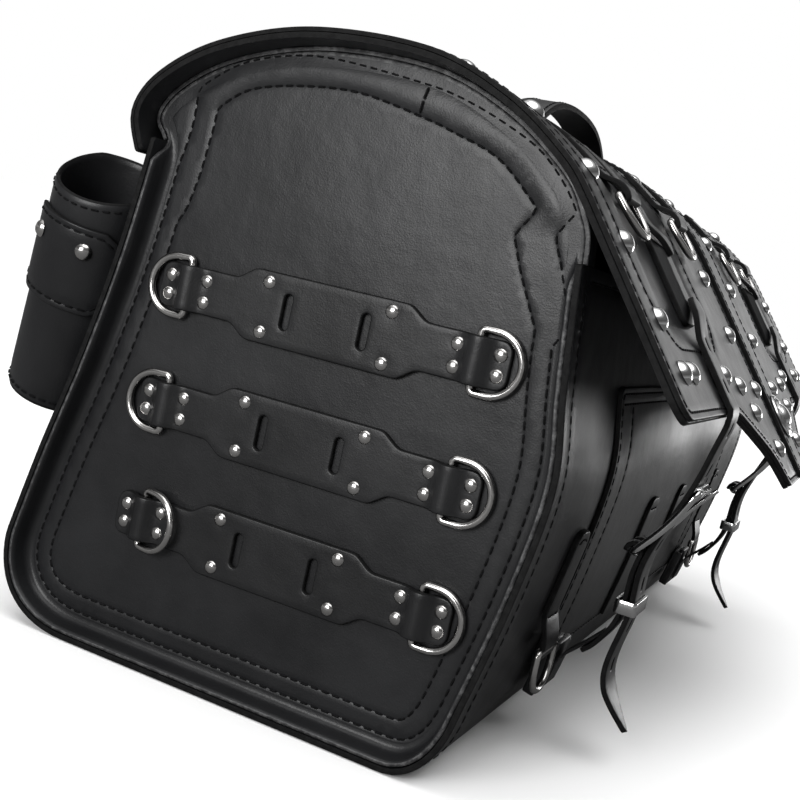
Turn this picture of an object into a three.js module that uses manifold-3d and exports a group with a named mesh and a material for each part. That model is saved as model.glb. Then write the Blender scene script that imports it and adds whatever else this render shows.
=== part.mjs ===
// Leather motorcycle travel bag: a long trunk-shaped bag with an arched lid.
// Millimetres, +Z up. X runs along the bag, -X is the end with the mounting plates,
// -Y is the front with the two buckled closures, +Y is the back with the bottle pouch.
import * as THREE from "three";
import { mergeVertices } from "three/addons/utils/BufferGeometryUtils.js";
import Module from "manifold-3d";

const wasm = await Module();
wasm.setup();

// ---------------------------------------------------------------- driving dimensions
const HALF_LENGTH = 320; // body, flange edge to flange edge, halved
const LEATHER = 3.2; // thickness of the body and lid leather
const OVERLAY = 2.4; // thickness of the decorative overlays
const STRAP = 3; // thickness of straps and plates
const GAP = 0.3; // between touching pieces
const RECESS = 13; // depth of the end panels inside their standing rims
const RIM_TOP = [[-130, 267], [122, 287]]; // the rims stand below this line, front to back
const LID_OVERHANG = 2; // lid beyond the body at each end

const FRONT_WALL = [[-130, 268], [-137, 208], [-143, 162], [-135, 100], [-122, 40]];
const BOTTOM_FRONT = [-88, 0];
const BOTTOM_BACK = [118, 0];
const BACK_WALL = [[170, 50], [158, 104], [143, 162], [130, 226], [122, 288]];
const LID_ARCH = [
  [127, 279], [134.5, 300], [122, 321], [88, 341.5], [35, 354.5],
  [-30, 353], [-76, 337], [-110, 314], [-125, 298]];
const ARCH_FRONT = [-128.5, 283]; // front end of the end panel's arch
const ARCH_INSET = 2.7; // end panel arch inside the lid's outer face, less its binding
const LID_FALL = 52.8; // degrees below level of the lid's straight front
const LID_EDGE = 113; // straight front, from the end of the arch to the front edge
const TONGUE_EDGE = 166; // the same at the tongue's tip
const TONGUE_HALF = 76; // half width of the tongue's tip
const TONGUE_ROOT = 158; // half width where the tongue leaves the front edge
const LID_CORNER = 12; // corner radius of the lid's front edge

const STRAP_X = 195; // closure straps, from the middle
const STRAP_WIDTH = 25;
const WINDOW = [135, 255]; // the lid overlay leaves these stretches open around the straps
const WINDOW_END = 74; // down the straight front
const CENTER_STRIP_HALF = 22;

const WIRE = 4.2; // D-ring wire
const RING_INNER = 28; // D-ring, inside width
const RING_ARM = 8; // straight part before the bow
const LID_RING_X = [-232, -104, 104, 232];
const LID_RING_STATION = -12; // ring bars, up the arch from the straight front
const MOUNT_RING_U = 86; // ring bars, either side of the plate's middle
const PLATE_Z = [212, 146.4, 80.8]; // heights of the three mounting plates
const FLIP = 165; // a D-ring's swing in degrees

// ---------------------------------------------------------------- small helpers
const vec = ([a, b]) => new THREE.Vector2(a, b);
const rad = THREE.MathUtils.degToRad;
const smooth = (points, count) => new THREE.SplineCurve(points.map(vec)).getSpacedPoints(count);

// Moves a path sideways, to the left of its direction, which is towards the bag's inside.
function offset(points, distance, closed = false) {
  const last = points.length - 1;
  return points.map((point, i) => {
    const before = points[i > 0 ? i - 1 : closed ? last : 0];
    const after = points[i < last ? i + 1 : closed ? 0 : last];
    const along = after.clone().sub(before).normalize();
    return new THREE.Vector2(point.x - along.y * distance, point.y + along.x * distance);
  });
}

const sheet = (path, thickness) => new THREE.Shape([...path, ...offset(path, thickness).reverse()]);

function solid(geometry) {
  const bare = geometry.index ? geometry.toNonIndexed() : geometry.clone();
  bare.deleteAttribute("normal");
  bare.deleteAttribute("uv");
  const merged = mergeVertices(bare, 1e-4);
  const mesh = new wasm.Mesh({
    numProp: 3,
    vertProperties: new Float32Array(merged.attributes.position.array),
    triVerts: new Uint32Array(merged.index.array),
  });
  return new wasm.Manifold(mesh);
}

function geometryOf(manifold) {
  const mesh = manifold.getMesh();
  const geometry = new THREE.BufferGeometry();
  geometry.setAttribute("position", new THREE.BufferAttribute(mesh.vertProperties, 3));
  geometry.setIndex(new THREE.BufferAttribute(mesh.triVerts, 1));
  return geometry;
}

const join = (...parts) => geometryOf(parts.map(solid).reduce((a, b) => a.add(b)));
const cut = (from, ...tools) => geometryOf(tools.map(solid).reduce((a, b) => a.subtract(b), solid(from)));

const flat = (shape, depth, segments = 6) =>
  new THREE.ExtrudeGeometry(shape, { depth, bevelEnabled: false, curveSegments: segments });

// A closed outline in the Y-Z plane, extruded along X between two stations.
function alongX(shape, from, to) {
  const geometry = flat(shape, to - from);
  const turn = new THREE.Matrix4().makeBasis(
    new THREE.Vector3(0, 1, 0), new THREE.Vector3(0, 0, 1), new THREE.Vector3(1, 0, 0));
  return geometry.applyMatrix4(turn).translate(from, 0, 0);
}

const block = (x, y, z, at = [0, 0, 0]) => new THREE.BoxGeometry(x, y, z).translate(...at);

// A cylinder along X, or along Y or Z when asked.
function rod(radius, length, axis = "x", sides = 12) {
  const geometry = new THREE.CylinderGeometry(radius, radius, length, sides);
  if (axis === "x") geometry.rotateZ(Math.PI / 2);
  if (axis === "z") geometry.rotateX(Math.PI / 2);
  return geometry;
}

function roundedRectangle(width, height, radius, Kind = THREE.Shape) {
  const shape = new Kind();
  const x = width / 2 - radius;
  const y = height / 2 - radius;
  shape.absarc(x, y, radius, 0, Math.PI / 2);
  shape.absarc(-x, y, radius, Math.PI / 2, Math.PI);
  shape.absarc(-x, -y, radius, Math.PI, 1.5 * Math.PI);
  shape.absarc(x, -y, radius, 1.5 * Math.PI, 2 * Math.PI);
  shape.closePath();
  return shape;
}

// ---------------------------------------------------------------- materials
const finish = (color, roughness, metalness) =>
  new THREE.MeshStandardMaterial({ color, roughness, metalness });
const leather = finish(0x26272a, 0.45, 0);
const edging = finish(0x141416, 0.6, 0);
const nickel = finish(0xb9bcc0, 0.18, 1);
const chrome = finish(0xd5d8dc, 0.1, 1);
const board = finish(0x3a3733, 0.8, 0);
const plastic = finish(0x101012, 0.4, 0);

const bag = new THREE.Group();

function add(name, geometry, material, parent = bag) {
  const mesh = new THREE.Mesh(geometry, material);
  mesh.name = name;
  parent.add(mesh);
  return mesh;
}

// A group whose local x, y and z point along the given row directions.
function frame(origin, x, y, parent = bag) {
  const group = new THREE.Group();
  const ex = new THREE.Vector3(...x).normalize();
  const ey = new THREE.Vector3(...y).normalize();
  const ez = new THREE.Vector3().crossVectors(ex, ey);
  group.quaternion.setFromRotationMatrix(new THREE.Matrix4().makeBasis(ex, ey, ez));
  group.position.set(...origin);
  parent.add(group);
  return group;
}

// ---------------------------------------------------------------- section of the bag
const frontWall = smooth(FRONT_WALL, 9);
const frontCorner = new THREE.CubicBezierCurve(
  vec(FRONT_WALL.at(-1)), vec([-118, 16]), vec([-104, 0]), vec(BOTTOM_FRONT)).getPoints(5);
const backCorner = new THREE.CubicBezierCurve(
  vec(BOTTOM_BACK), vec([150, 0]), vec([172, 18]), vec(BACK_WALL[0])).getPoints(6);
const backWall = smooth(BACK_WALL, 8);
const wrapPath = [...frontWall, ...frontCorner.slice(1), ...backCorner, ...backWall.slice(1)];

const archPath = smooth(LID_ARCH, 22);
const fall = new THREE.Vector2(-Math.cos(rad(LID_FALL)), -Math.sin(rad(LID_FALL)));
const outward = new THREE.Vector2(fall.y, -fall.x);
const archEnd = archPath.at(-1);
const archStep = archEnd.distanceTo(archPath.at(-2));

// Outer face of the lid at a station: positive down the straight front, negative back over
// the arch, raised by lift.
function lidPoint(station, lift = 0) {
  if (station >= 0) return archEnd.clone().addScaledVector(fall, station).addScaledVector(outward, lift);
  const place = THREE.MathUtils.clamp(archPath.length - 1 + station / archStep, 0, archPath.length - 1);
  const raised = offset([...archPath, lidPoint(1)], -lift);
  const low = Math.floor(place);
  return raised[low].clone().lerp(raised[Math.min(low + 1, archPath.length - 1)], place - low);
}

// A strip of leather on the lid through the given [station, lift] pairs.
function lidStrip(stations, thickness, from, to) {
  const path = [];
  stations.forEach(([station, lift], i) => {
    path.push(lidPoint(station, lift));
    if (i === stations.length - 1) return;
    const [next, nextLift] = stations[i + 1];
    for (let k = Math.ceil(station / archStep + 0.2); k * archStep < Math.min(next, 0) - 2; k += 1) {
      const share = (k * archStep - station) / (next - station);
      path.push(lidPoint(k * archStep, lift + share * (nextLift - lift)));
    }
    if (station >= -2 || next <= 2) return;
    path.push(lidPoint(0, lift + (-station / (next - station)) * (nextLift - lift)));
  });
  return alongX(sheet(path, thickness), from, to);
}

const LID_BACK = -archStep * (archPath.length - 1);

// ---------------------------------------------------------------- body
add("body_wrap", alongX(sheet(wrapPath, LEATHER), -HALF_LENGTH, HALF_LENGTH), leather);

const panelArch = offset([...archPath, lidPoint(1)], ARCH_INSET).slice(1, -1);
const panelOutline = [...wrapPath, ...panelArch, vec(ARCH_FRONT)];

function endPanel(side) {
  const face = HALF_LENGTH - RECESS;
  const outer = offset(panelOutline, LEATHER + GAP, true);
  const inner = offset(panelOutline, LEATHER + GAP + STRAP, true);
  const rim = new THREE.Shape(outer);
  rim.holes.push(new THREE.Path(inner));
  const back = face - STRAP;
  const [front, rear] = RIM_TOP;
  const above = new THREE.Shape([front, rear, [400, 300], [400, 500], [-400, 500], [-400, 260]].map(vec));
  const standing = cut(alongX(rim, back, HALF_LENGTH), alongX(above, back - 1, HALF_LENGTH + 1));
  const panel = join(standing, alongX(new THREE.Shape(outer), back, face));
  if (side > 0) return panel;
  const mirrored = panel.toNonIndexed();
  const position = mirrored.attributes.position;
  for (let i = 0; i < position.count; i += 3) {
    const corner = [0, 2, 1].map((k) => new THREE.Vector3().fromBufferAttribute(position, i + k));
    corner.forEach((point, k) => position.setXYZ(i + k, -point.x, point.y, point.z));
  }
  return mirrored;
}

// The leather strip that binds an end panel's arch, where the body wrap doesn't reach.
function archBinding(side) {
  const arch = [...panelArch.slice(1), vec(ARCH_FRONT)];
  const outside = offset(arch, LEATHER - OVERLAY);
  const face = HALF_LENGTH - RECESS;
  const ends = [face - RECESS, face].map((x) => side * x).sort((a, b) => a - b);
  return alongX(sheet(outside, OVERLAY), ...ends);
}

for (const [name, side] of [["left", -1], ["right", 1]]) {
  add(`end_panel_${name}`, endPanel(side), leather);
  add(`arch_binding_${name}`, archBinding(side), edging);
}

const INSIDE = HALF_LENGTH - RECESS - STRAP - 2;
add("bottom_board", block(2 * INSIDE, 196, 4, [0, 16, LEATHER + GAP + 2.2]), board);

// The front wall's outer face between two heights, raised by lift.
function frontLine(high, low, lift) {
  const path = [...frontWall, ...frontCorner.slice(1)];
  const at = (height) => {
    const i = path.findIndex((point) => point.y <= height);
    const share = (path[i - 1].y - height) / (path[i - 1].y - path[i].y);
    return path[i - 1].clone().lerp(path[i], share);
  };
  const between = path.filter((point) => point.y < high - 1 && point.y > low + 1);
  return offset([at(high), ...between, at(low)], -lift);
}
const onFront = (high, low, lift, thickness, from, to) =>
  alongX(sheet(frontLine(high, low, lift), thickness), from, to);

add("front_panel", onFront(210, 44, OVERLAY + GAP, OVERLAY, -214, 214), leather);

// ---------------------------------------------------------------- D-rings
// Bar along y, bow towards +x.
function dRing() {
  const half = RING_INNER / 2 + WIRE / 2;
  const path = new THREE.CurvePath();
  path.add(new THREE.LineCurve3(new THREE.Vector3(0, -half, 0), new THREE.Vector3(RING_ARM, -half, 0)));
  const bow = new THREE.CatmullRomCurve3(Array.from({ length: 9 }, (_, i) => {
    const angle = -Math.PI / 2 + (Math.PI * i) / 8;
    return new THREE.Vector3(RING_ARM + half * Math.cos(angle), half * Math.sin(angle), 0);
  }));
  path.add(bow);
  path.add(new THREE.LineCurve3(new THREE.Vector3(RING_ARM, half, 0), new THREE.Vector3(0, half, 0)));
  const section = new THREE.Shape();
  section.absarc(0, 0, WIRE / 2, 0, 2 * Math.PI);
  const bent = new THREE.ExtrudeGeometry(section, { steps: 14, extrudePath: path, curveSegments: 3 });
  return join(bent, rod(WIRE / 2, 2 * half + WIRE, "y", 8));
}
const ringGeometry = dRing();
const TUNNEL = WIRE / 2 + 0.5;
const HUMP = TUNNEL + STRAP;

// ---------------------------------------------------------------- mounting plates, -X end
const plateFrame = frame([-(HALF_LENGTH - RECESS) - GAP, 0, 0], [0, -1, 0], [0, 0, 1]);
const NARROW = 12.5; // half widths of the plate
const WIDE = 19.5;
const PLATE_END = 97; // where the round end starts
const SHOULDER = [42, 54];
const SLOT_AT = 23.2;
const SLOT = [5, 19]; // width and length

function plateOutline() {
  const shape = new THREE.Shape();
  const corner = 6.5;
  shape.moveTo(PLATE_END, -NARROW);
  shape.quadraticCurveTo(PLATE_END + corner, -NARROW, PLATE_END + corner, -NARROW + corner);
  shape.lineTo(PLATE_END + corner, NARROW - corner);
  shape.quadraticCurveTo(PLATE_END + corner, NARROW, PLATE_END, NARROW);
  const middle = (SHOULDER[0] + SHOULDER[1]) / 2;
  shape.lineTo(SHOULDER[1], NARROW);
  shape.bezierCurveTo(middle, NARROW, middle, WIDE, SHOULDER[0], WIDE);
  shape.lineTo(-SHOULDER[0], WIDE);
  shape.bezierCurveTo(-middle, WIDE, -middle, NARROW, -SHOULDER[1], NARROW);
  shape.lineTo(-PLATE_END, NARROW);
  shape.quadraticCurveTo(-PLATE_END - corner, NARROW, -PLATE_END - corner, NARROW - corner);
  shape.lineTo(-PLATE_END - corner, -NARROW + corner);
  shape.quadraticCurveTo(-PLATE_END - corner, -NARROW, -PLATE_END, -NARROW);
  shape.lineTo(-SHOULDER[1], -NARROW);
  shape.bezierCurveTo(-middle, -NARROW, -middle, -WIDE, -SHOULDER[0], -WIDE);
  shape.lineTo(SHOULDER[0], -WIDE);
  shape.bezierCurveTo(middle, -WIDE, middle, -NARROW, SHOULDER[1], -NARROW);
  shape.closePath();
  const slot = roundedRectangle(SLOT[0], SLOT[1], 2.4, THREE.Path).getPoints(2);
  for (const side of [-1, 1]) {
    const shifted = slot.map((p) => new THREE.Vector2(p.x + side * SLOT_AT, p.y));
    shape.holes.push(new THREE.Path(shifted));
  }
  return shape;
}

function mountPlate() {
  const humps = [-1, 1].map((side) =>
    rod(HUMP, 2 * NARROW, "y", 16).translate(side * MOUNT_RING_U, 0, TUNNEL));
  const tunnels = [-1, 1].flatMap((side) => [
    rod(TUNNEL, 60, "y", 12).translate(side * MOUNT_RING_U, 0, TUNNEL),
    block(2 * TUNNEL, 60, TUNNEL + 10, [side * MOUNT_RING_U, 0, (TUNNEL - 10) / 2]),
  ]);
  const below = block(400, 80, 20, [0, 0, -10]);
  return cut(join(flat(plateOutline(), STRAP, 3), ...humps), ...tunnels, below);
}
const plateGeometry = mountPlate();
const plateNames = ["top", "middle", "bottom"];
plateNames.forEach((row, i) => {
  add(`mount_plate_${row}`, plateGeometry, leather, plateFrame).position.y = PLATE_Z[i];
  for (const [place, side] of [["front", 1], ["back", -1]]) {
    const ring = add(`mount_ring_${row}_${place}`, ringGeometry, nickel, plateFrame);
    ring.position.set(side * MOUNT_RING_U, PLATE_Z[i], TUNNEL);
    const flipped = row === "bottom" && place === "back";
    ring.rotation.y = (side > 0 ? 0 : Math.PI) + (flipped ? rad(FLIP) : 0);
  }
});

// ---------------------------------------------------------------- ring straps on the front
const FRONT_RING_X = 233;
const FRONT_RING_Z = 62;
const FRONT_STRAP_TOP = 132;
const frontRingPoint = frontLine(FRONT_RING_Z + 3, FRONT_RING_Z - 14, 0)[0];
for (const [name, side] of [["left", -1], ["right", 1]]) {
  const seat = [side * FRONT_RING_X, frontRingPoint.x - 2 * OVERLAY - TUNNEL - 1.2, frontRingPoint.y];
  const strip = onFront(FRONT_STRAP_TOP, FRONT_RING_Z - 4, STRAP + GAP, STRAP,
    seat[0] - STRAP_WIDTH / 2, seat[0] + STRAP_WIDTH / 2);
  const eye = rod(HUMP, STRAP_WIDTH, "x", 16).translate(...seat);
  const trimmed = cut(join(strip, eye), rod(TUNNEL, 60, "x", 12).translate(...seat),
    onFront(FRONT_STRAP_TOP + 20, 20, 0.2, 12, seat[0] - 30, seat[0] + 30));
  add(`front_ring_strap_${name}`, trimmed, leather);
  add(`front_ring_${name}`, ringGeometry, nickel, frame(seat, [0, 0, -1], [1, 0, 0]));
}

// ---------------------------------------------------------------- lid
const LID_HALF = HALF_LENGTH + LID_OVERHANG;
const slopeFrame = new THREE.Matrix4().makeBasis(
  new THREE.Vector3(1, 0, 0), new THREE.Vector3(0, fall.x, fall.y), new THREE.Vector3(0, -fall.y, fall.x));
slopeFrame.setPosition(0, archEnd.x, archEnd.y);

// A cutter drawn over the lid's straight front, x along the bag and y down the slope.
const slopeCutter = (shape, depth) => flat(shape, 2 * depth).translate(0, 0, -depth).applyMatrix4(slopeFrame);

// Everything past the lid's front edge, its tongue left standing.
function frontEdgeCutter() {
  const shape = new THREE.Shape();
  const reach = LID_HALF + 40;
  const turn = 14; // corner of the tongue's tip
  shape.moveTo(-reach, LID_EDGE - LID_CORNER - 60);
  shape.lineTo(-LID_HALF, LID_EDGE - LID_CORNER);
  shape.quadraticCurveTo(-LID_HALF, LID_EDGE, -LID_HALF + LID_CORNER, LID_EDGE);
  shape.lineTo(-TONGUE_ROOT, LID_EDGE);
  shape.bezierCurveTo(-TONGUE_ROOT + 34, LID_EDGE, -TONGUE_HALF - 26, TONGUE_EDGE - 36,
    -TONGUE_HALF - 6, TONGUE_EDGE - turn);
  shape.quadraticCurveTo(-TONGUE_HALF, TONGUE_EDGE, -TONGUE_HALF + turn, TONGUE_EDGE);
  shape.lineTo(TONGUE_HALF - turn, TONGUE_EDGE);
  shape.quadraticCurveTo(TONGUE_HALF, TONGUE_EDGE, TONGUE_HALF + 6, TONGUE_EDGE - turn);
  shape.bezierCurveTo(TONGUE_HALF + 26, TONGUE_EDGE - 36, TONGUE_ROOT - 34, LID_EDGE,
    TONGUE_ROOT, LID_EDGE);
  shape.lineTo(LID_HALF - LID_CORNER, LID_EDGE);
  shape.quadraticCurveTo(LID_HALF, LID_EDGE, LID_HALF, LID_EDGE - LID_CORNER);
  shape.lineTo(reach, LID_EDGE - LID_CORNER - 60);
  shape.lineTo(reach, TONGUE_EDGE + 60);
  shape.lineTo(-reach, TONGUE_EDGE + 60);
  shape.closePath();
  return slopeCutter(shape, 60);
}

function windowCutter(side) {
  const [from, to] = WINDOW;
  const shape = new THREE.Shape();
  const round = 26;
  shape.moveTo(from, -500);
  shape.lineTo(to, -500);
  shape.lineTo(to, WINDOW_END - round);
  shape.quadraticCurveTo(to, WINDOW_END, to - round, WINDOW_END);
  shape.lineTo(from + round, WINDOW_END);
  shape.quadraticCurveTo(from, WINDOW_END, from, WINDOW_END - round);
  shape.closePath();
  const cutter = slopeCutter(shape, 600);
  return side > 0 ? cutter : cutter.translate(-from - to, 0, 0);
}

const edgeCutter = frontEdgeCutter();
const wholeLid = (lift, thickness) =>
  lidStrip([[LID_BACK, lift], [TONGUE_EDGE + 8, lift]], thickness, -LID_HALF, LID_HALF);
const overlayLift = OVERLAY + GAP;
const stripLift = 2 * (OVERLAY + GAP);

add("lid_shell", cut(wholeLid(0, LEATHER), edgeCutter), leather);
add("lid_overlay", cut(wholeLid(overlayLift, OVERLAY), edgeCutter, windowCutter(-1), windowCutter(1)),
  leather);
add("lid_center_strip", lidStrip([[LID_BACK + 14, stripLift], [TONGUE_EDGE - 1, stripLift]], OVERLAY,
  -CENTER_STRIP_HALF, CENTER_STRIP_HALF), leather);

// Domed round ornament at the lower end of the centre strip, turned on its own axis.
const CONCHO_STATION = 122;
const conchoSeat = lidPoint(CONCHO_STATION, stripLift + GAP);
const conchoProfile = [[0, 0], [15, 0], [16, 1], [15, 2.4], [11, 3], [9, 4.6], [5, 6.2], [0, 6.8]].map(vec);
add("concho", new THREE.LatheGeometry(conchoProfile, 24), chrome,
  frame([0, conchoSeat.x, conchoSeat.y], [1, 0, 0], [0, outward.x, outward.y]));

// Leather strip along the back wall that carries the lid's sewn hinge.
const hingeSeat = backWall.filter((point) => point.y > 225);
hingeSeat[hingeSeat.length - 1] = hingeSeat.at(-1).clone().lerp(hingeSeat.at(-2), 0.45);
const HINGE_HALF = HALF_LENGTH - 16;
const hingeSheet = sheet(offset(hingeSeat, -(OVERLAY + GAP)), OVERLAY);
add("hinge_strip", alongX(hingeSheet, -HINGE_HALF, HINGE_HALF), leather);

// ---------------------------------------------------------------- carry handle
const HANDLE_FOOT = 96;
const HANDLE_RISE = 26;
const HANDLE_Y = 1;
const HANDLE_WIDTH = 28;
const HANDLE_THICKNESS = 4;
const HANDLE_PATCH = 22; // length of the patch sewn over each foot
function handlePath(top) {
  const bend = new THREE.CubicBezierCurve(vec([-HANDLE_FOOT - 12, top]), vec([-HANDLE_FOOT + 22, top]),
    vec([-HANDLE_FOOT + 14, top + HANDLE_RISE]), vec([0, top + HANDLE_RISE])).getPoints(9);
  const left = [vec([-HANDLE_FOOT - 40, top]), ...bend];
  const right = left.slice(0, -1).reverse().map((p) => new THREE.Vector2(-p.x, p.y));
  return [...left, ...right].reverse();
}
const archTop = Math.max(...archPath.map((point) => point.y));
const HANDLE_BASE = archTop + overlayLift + GAP;
const handleShape = sheet(handlePath(HANDLE_BASE + HANDLE_THICKNESS), HANDLE_THICKNESS);
const handleGeometry = flat(handleShape, HANDLE_WIDTH).applyMatrix4(new THREE.Matrix4().makeBasis(
  new THREE.Vector3(1, 0, 0), new THREE.Vector3(0, 0, 1), new THREE.Vector3(0, -1, 0)));
add("carry_handle", handleGeometry.translate(0, HANDLE_Y + HANDLE_WIDTH / 2, 0), leather);
for (const [name, side] of [["left", -1], ["right", 1]]) {
  const seat = [side * (HANDLE_FOOT + 27), HANDLE_Y, HANDLE_BASE + HANDLE_THICKNESS + GAP + OVERLAY / 2];
  add(`handle_patch_${name}`, block(HANDLE_PATCH, HANDLE_WIDTH + 8, OVERLAY, seat), leather);
}

// ---------------------------------------------------------------- lid rings and straps
LID_RING_X.forEach((x, i) => {
  const onOverlay = Math.abs(x) < WINDOW[0];
  const base = (onOverlay ? overlayLift : 0) + GAP;
  const bar = lidPoint(LID_RING_STATION, base + TUNNEL);
  const seat = [x, bar.x, bar.y];
  const top = base + STRAP;
  const strip = lidStrip([[LID_RING_STATION - 44, top], [LID_RING_STATION + 2, top]], STRAP,
    x - NARROW, x + NARROW);
  const eye = rod(HUMP, 2 * NARROW, "x", 16).translate(...seat);
  const under = lidStrip([[LID_RING_STATION - 80, base], [30, base]], 12, x - 20, x + 20);
  const tab = cut(join(strip, eye), rod(TUNNEL, 60, "x", 12).translate(...seat), under,
    block(60, 2 * TUNNEL, 2 * TUNNEL, seat));
  add(`lid_ring_tab_${i + 1}`, tab, leather);
  const low = lidPoint(LID_RING_STATION + 26, base + TUNNEL + 1.5).sub(bar);
  add(`lid_ring_${i + 1}`, ringGeometry, nickel, frame(seat, [0, low.x, low.y], [1, 0, 0]));
});

const strapRise = [WINDOW_END - 18, WINDOW_END - 3];
const strapOnLid = STRAP + GAP;
const LOOP = [14, 50]; // stations of the leather loop over the strap

function strapLoop(x) {
  const inner = lidStrip([[LOOP[0] - 4, strapOnLid + GAP], [LOOP[1] + 4, strapOnLid + GAP]], STRAP + GAP,
    x - STRAP_WIDTH / 2 - GAP, x + STRAP_WIDTH / 2 + GAP);
  const outer = lidStrip([[LOOP[0], strapOnLid + GAP + OVERLAY], [LOOP[1], strapOnLid + GAP + OVERLAY]],
    STRAP + OVERLAY, x - STRAP_WIDTH / 2 - 3, x + STRAP_WIDTH / 2 + 3);
  return cut(outer, inner);
}

// ---------------------------------------------------------------- closures
// The strap runs down from the lid's front edge, behind the buckle's upper bar, over its
// lower bar and through the keeper, and its tail hangs free. The chape holds the buckle and
// ends in the hook of a quick-release clip.
const STRAP_FALL = [[-193, 190], [-187, 166], [-171.5, 121], [-170, 89], [-165, 49], [-182, 20]];
const TAIL_END = STRAP_FALL.at(-1);
const CHAPE_FALL = [[-166.2, 108], [-165.2, 88], [-158, 70], [-149, 60]];
const KEEPER_AT = [-167.7, 92];
const buckleTop = vec(STRAP_FALL[1]);
const buckleBottom = vec(STRAP_FALL[2]);
const buckleNormal = (() => {
  const along = buckleBottom.clone().sub(buckleTop).normalize();
  return new THREE.Vector2(along.y, -along.x);
})();
const BAR = 4; // buckle frame section
const PRONG = 1.4; // radius of the buckle's prong
const EYE_INNER = 3.2;
const EYE_OUTER = 5.8;
const upperBar = buckleTop.clone().addScaledVector(buckleNormal, STRAP / 2 + 0.5 + BAR / 2);
const lowerBar = buckleBottom.clone().addScaledVector(buckleNormal, -(STRAP / 2 + 0.5 + EYE_OUTER));
const FRAME_INNER = 30;
const frameUp = upperBar.clone().sub(lowerBar);

function closureStrap(x) {
  const start = lidPoint(LID_EDGE + 1, overlayLift + GAP + STRAP / 2);
  const curve = smooth([[start.x, start.y], ...STRAP_FALL], 22);
  const strip = alongX(sheet(offset(curve, -STRAP / 2), STRAP), x - STRAP_WIDTH / 2, x + STRAP_WIDTH / 2);
  const middle = buckleTop.clone().lerp(buckleBottom, 0.5);
  const slot = block(6, 24, 30, [x, middle.x, middle.y]);
  const point = new THREE.Shape([[-30, -1], [-30, 16], [-6, -1]].map(vec));
  const trims = [1, -1].map((side) => {
    const wedge = flat(point, 60).translate(0, 0, -30).applyMatrix4(new THREE.Matrix4().makeBasis(
      new THREE.Vector3(side, 0, 0), new THREE.Vector3(0, 0, 1), new THREE.Vector3(0, -side, 0)));
    return wedge.translate(x, TAIL_END[0], TAIL_END[1] - 6);
  });
  return cut(strip, slot, ...trims);
}

function buckleFrame() {
  const shape = roundedRectangle(FRAME_INNER + 2 * BAR, frameUp.length() + BAR, 5);
  shape.holes.push(roundedRectangle(FRAME_INNER, frameUp.length() - BAR, 2, THREE.Path));
  return flat(shape, BAR, 3).translate(0, frameUp.length() / 2, -BAR / 2);
}

function prong() {
  const reach = frameUp.length() + BAR / 2 + 3;
  const rise = BAR / 2 + 2 * GAP + PRONG;
  const eye = rod(5, 5, "x", 16);
  const path = new THREE.LineCurve3(new THREE.Vector3(0, 2, 0), new THREE.Vector3(0, reach, rise));
  const section = new THREE.Shape();
  section.absarc(0, 0, PRONG, 0, 2 * Math.PI);
  const arm = new THREE.ExtrudeGeometry(section, { steps: 1, extrudePath: path, curveSegments: 4 });
  return cut(join(eye, arm), rod(3.1, 10, "x", 16));
}

function chape(x) {
  const path = smooth([[lowerBar.x - 2, lowerBar.y - 3], ...CHAPE_FALL], 10);
  const strip = alongX(sheet(offset(path, -STRAP / 2), STRAP), x - STRAP_WIDTH / 2, x + STRAP_WIDTH / 2);
  const eye = rod(EYE_OUTER, STRAP_WIDTH, "x", 16).translate(x, lowerBar.x, lowerBar.y);
  const hole = rod(EYE_INNER, 60, "x", 16).translate(x, lowerBar.x, lowerBar.y);
  const notch = block(9, 26, 16, [x, lowerBar.x, lowerBar.y]);
  return cut(join(strip, eye), hole, notch);
}

function keeper() {
  const shape = new THREE.Shape([[-15.6, -6.4], [15.6, -6.4], [15.6, 6.4], [-15.6, 6.4]].map(vec));
  shape.holes.push(new THREE.Path([[-13.6, -4.6], [-13.6, 4.6], [13.6, 4.6], [13.6, -4.6]].map(vec)));
  return flat(shape, 8).translate(0, 0, -4);
}

const clipSeat = frontLine(56, 30, 0)[0];
const clipDown = frontLine(56, 30, 0).at(-1).clone().sub(clipSeat).normalize();

for (const [name, side] of [["left", -1], ["right", 1]]) {
  const x = side * STRAP_X;
  const [from, to] = [x - STRAP_WIDTH / 2, x + STRAP_WIDTH / 2];
  add(`lid_strap_${name}`, lidStrip([[LID_BACK + 30, strapOnLid], [strapRise[0], strapOnLid],
    [strapRise[1], overlayLift + strapOnLid], [LID_EDGE - 1, overlayLift + strapOnLid]],
  STRAP, from, to), leather);
  add(`strap_loop_${name}`, strapLoop(x), leather);

  add(`closure_strap_${name}`, closureStrap(x), leather);
  const buckle = frame([x, lowerBar.x, lowerBar.y], [1, 0, 0], [0, frameUp.x, frameUp.y]);
  add(`buckle_frame_${name}`, buckleFrame(), chrome, buckle);
  add(`buckle_prong_${name}`, prong(), chrome, buckle);
  add(`chape_${name}`, chape(x), leather);
  add(`keeper_${name}`, keeper(), chrome, frame([x, ...KEEPER_AT], [1, 0, 0], [0, 1, 0]));

  const clip = frame([x, clipSeat.x, clipSeat.y], [1, 0, 0], [0, -clipDown.x, -clipDown.y]);
  const base = block(34, 32, 3, [0, -12, overlayLift + 2 * GAP + 1.5]);
  const rails = [-1, 1].map((end) => block(4, 32, 5, [15 * end, -12, overlayLift + 2 * GAP + 4.5]));
  add(`clip_socket_${name}`, join(base, ...rails), plastic, clip);
  add(`clip_hook_${name}`, block(24, 28, 3.2, [0, -14, overlayLift + 5.6]), plastic, clip);
}

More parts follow.
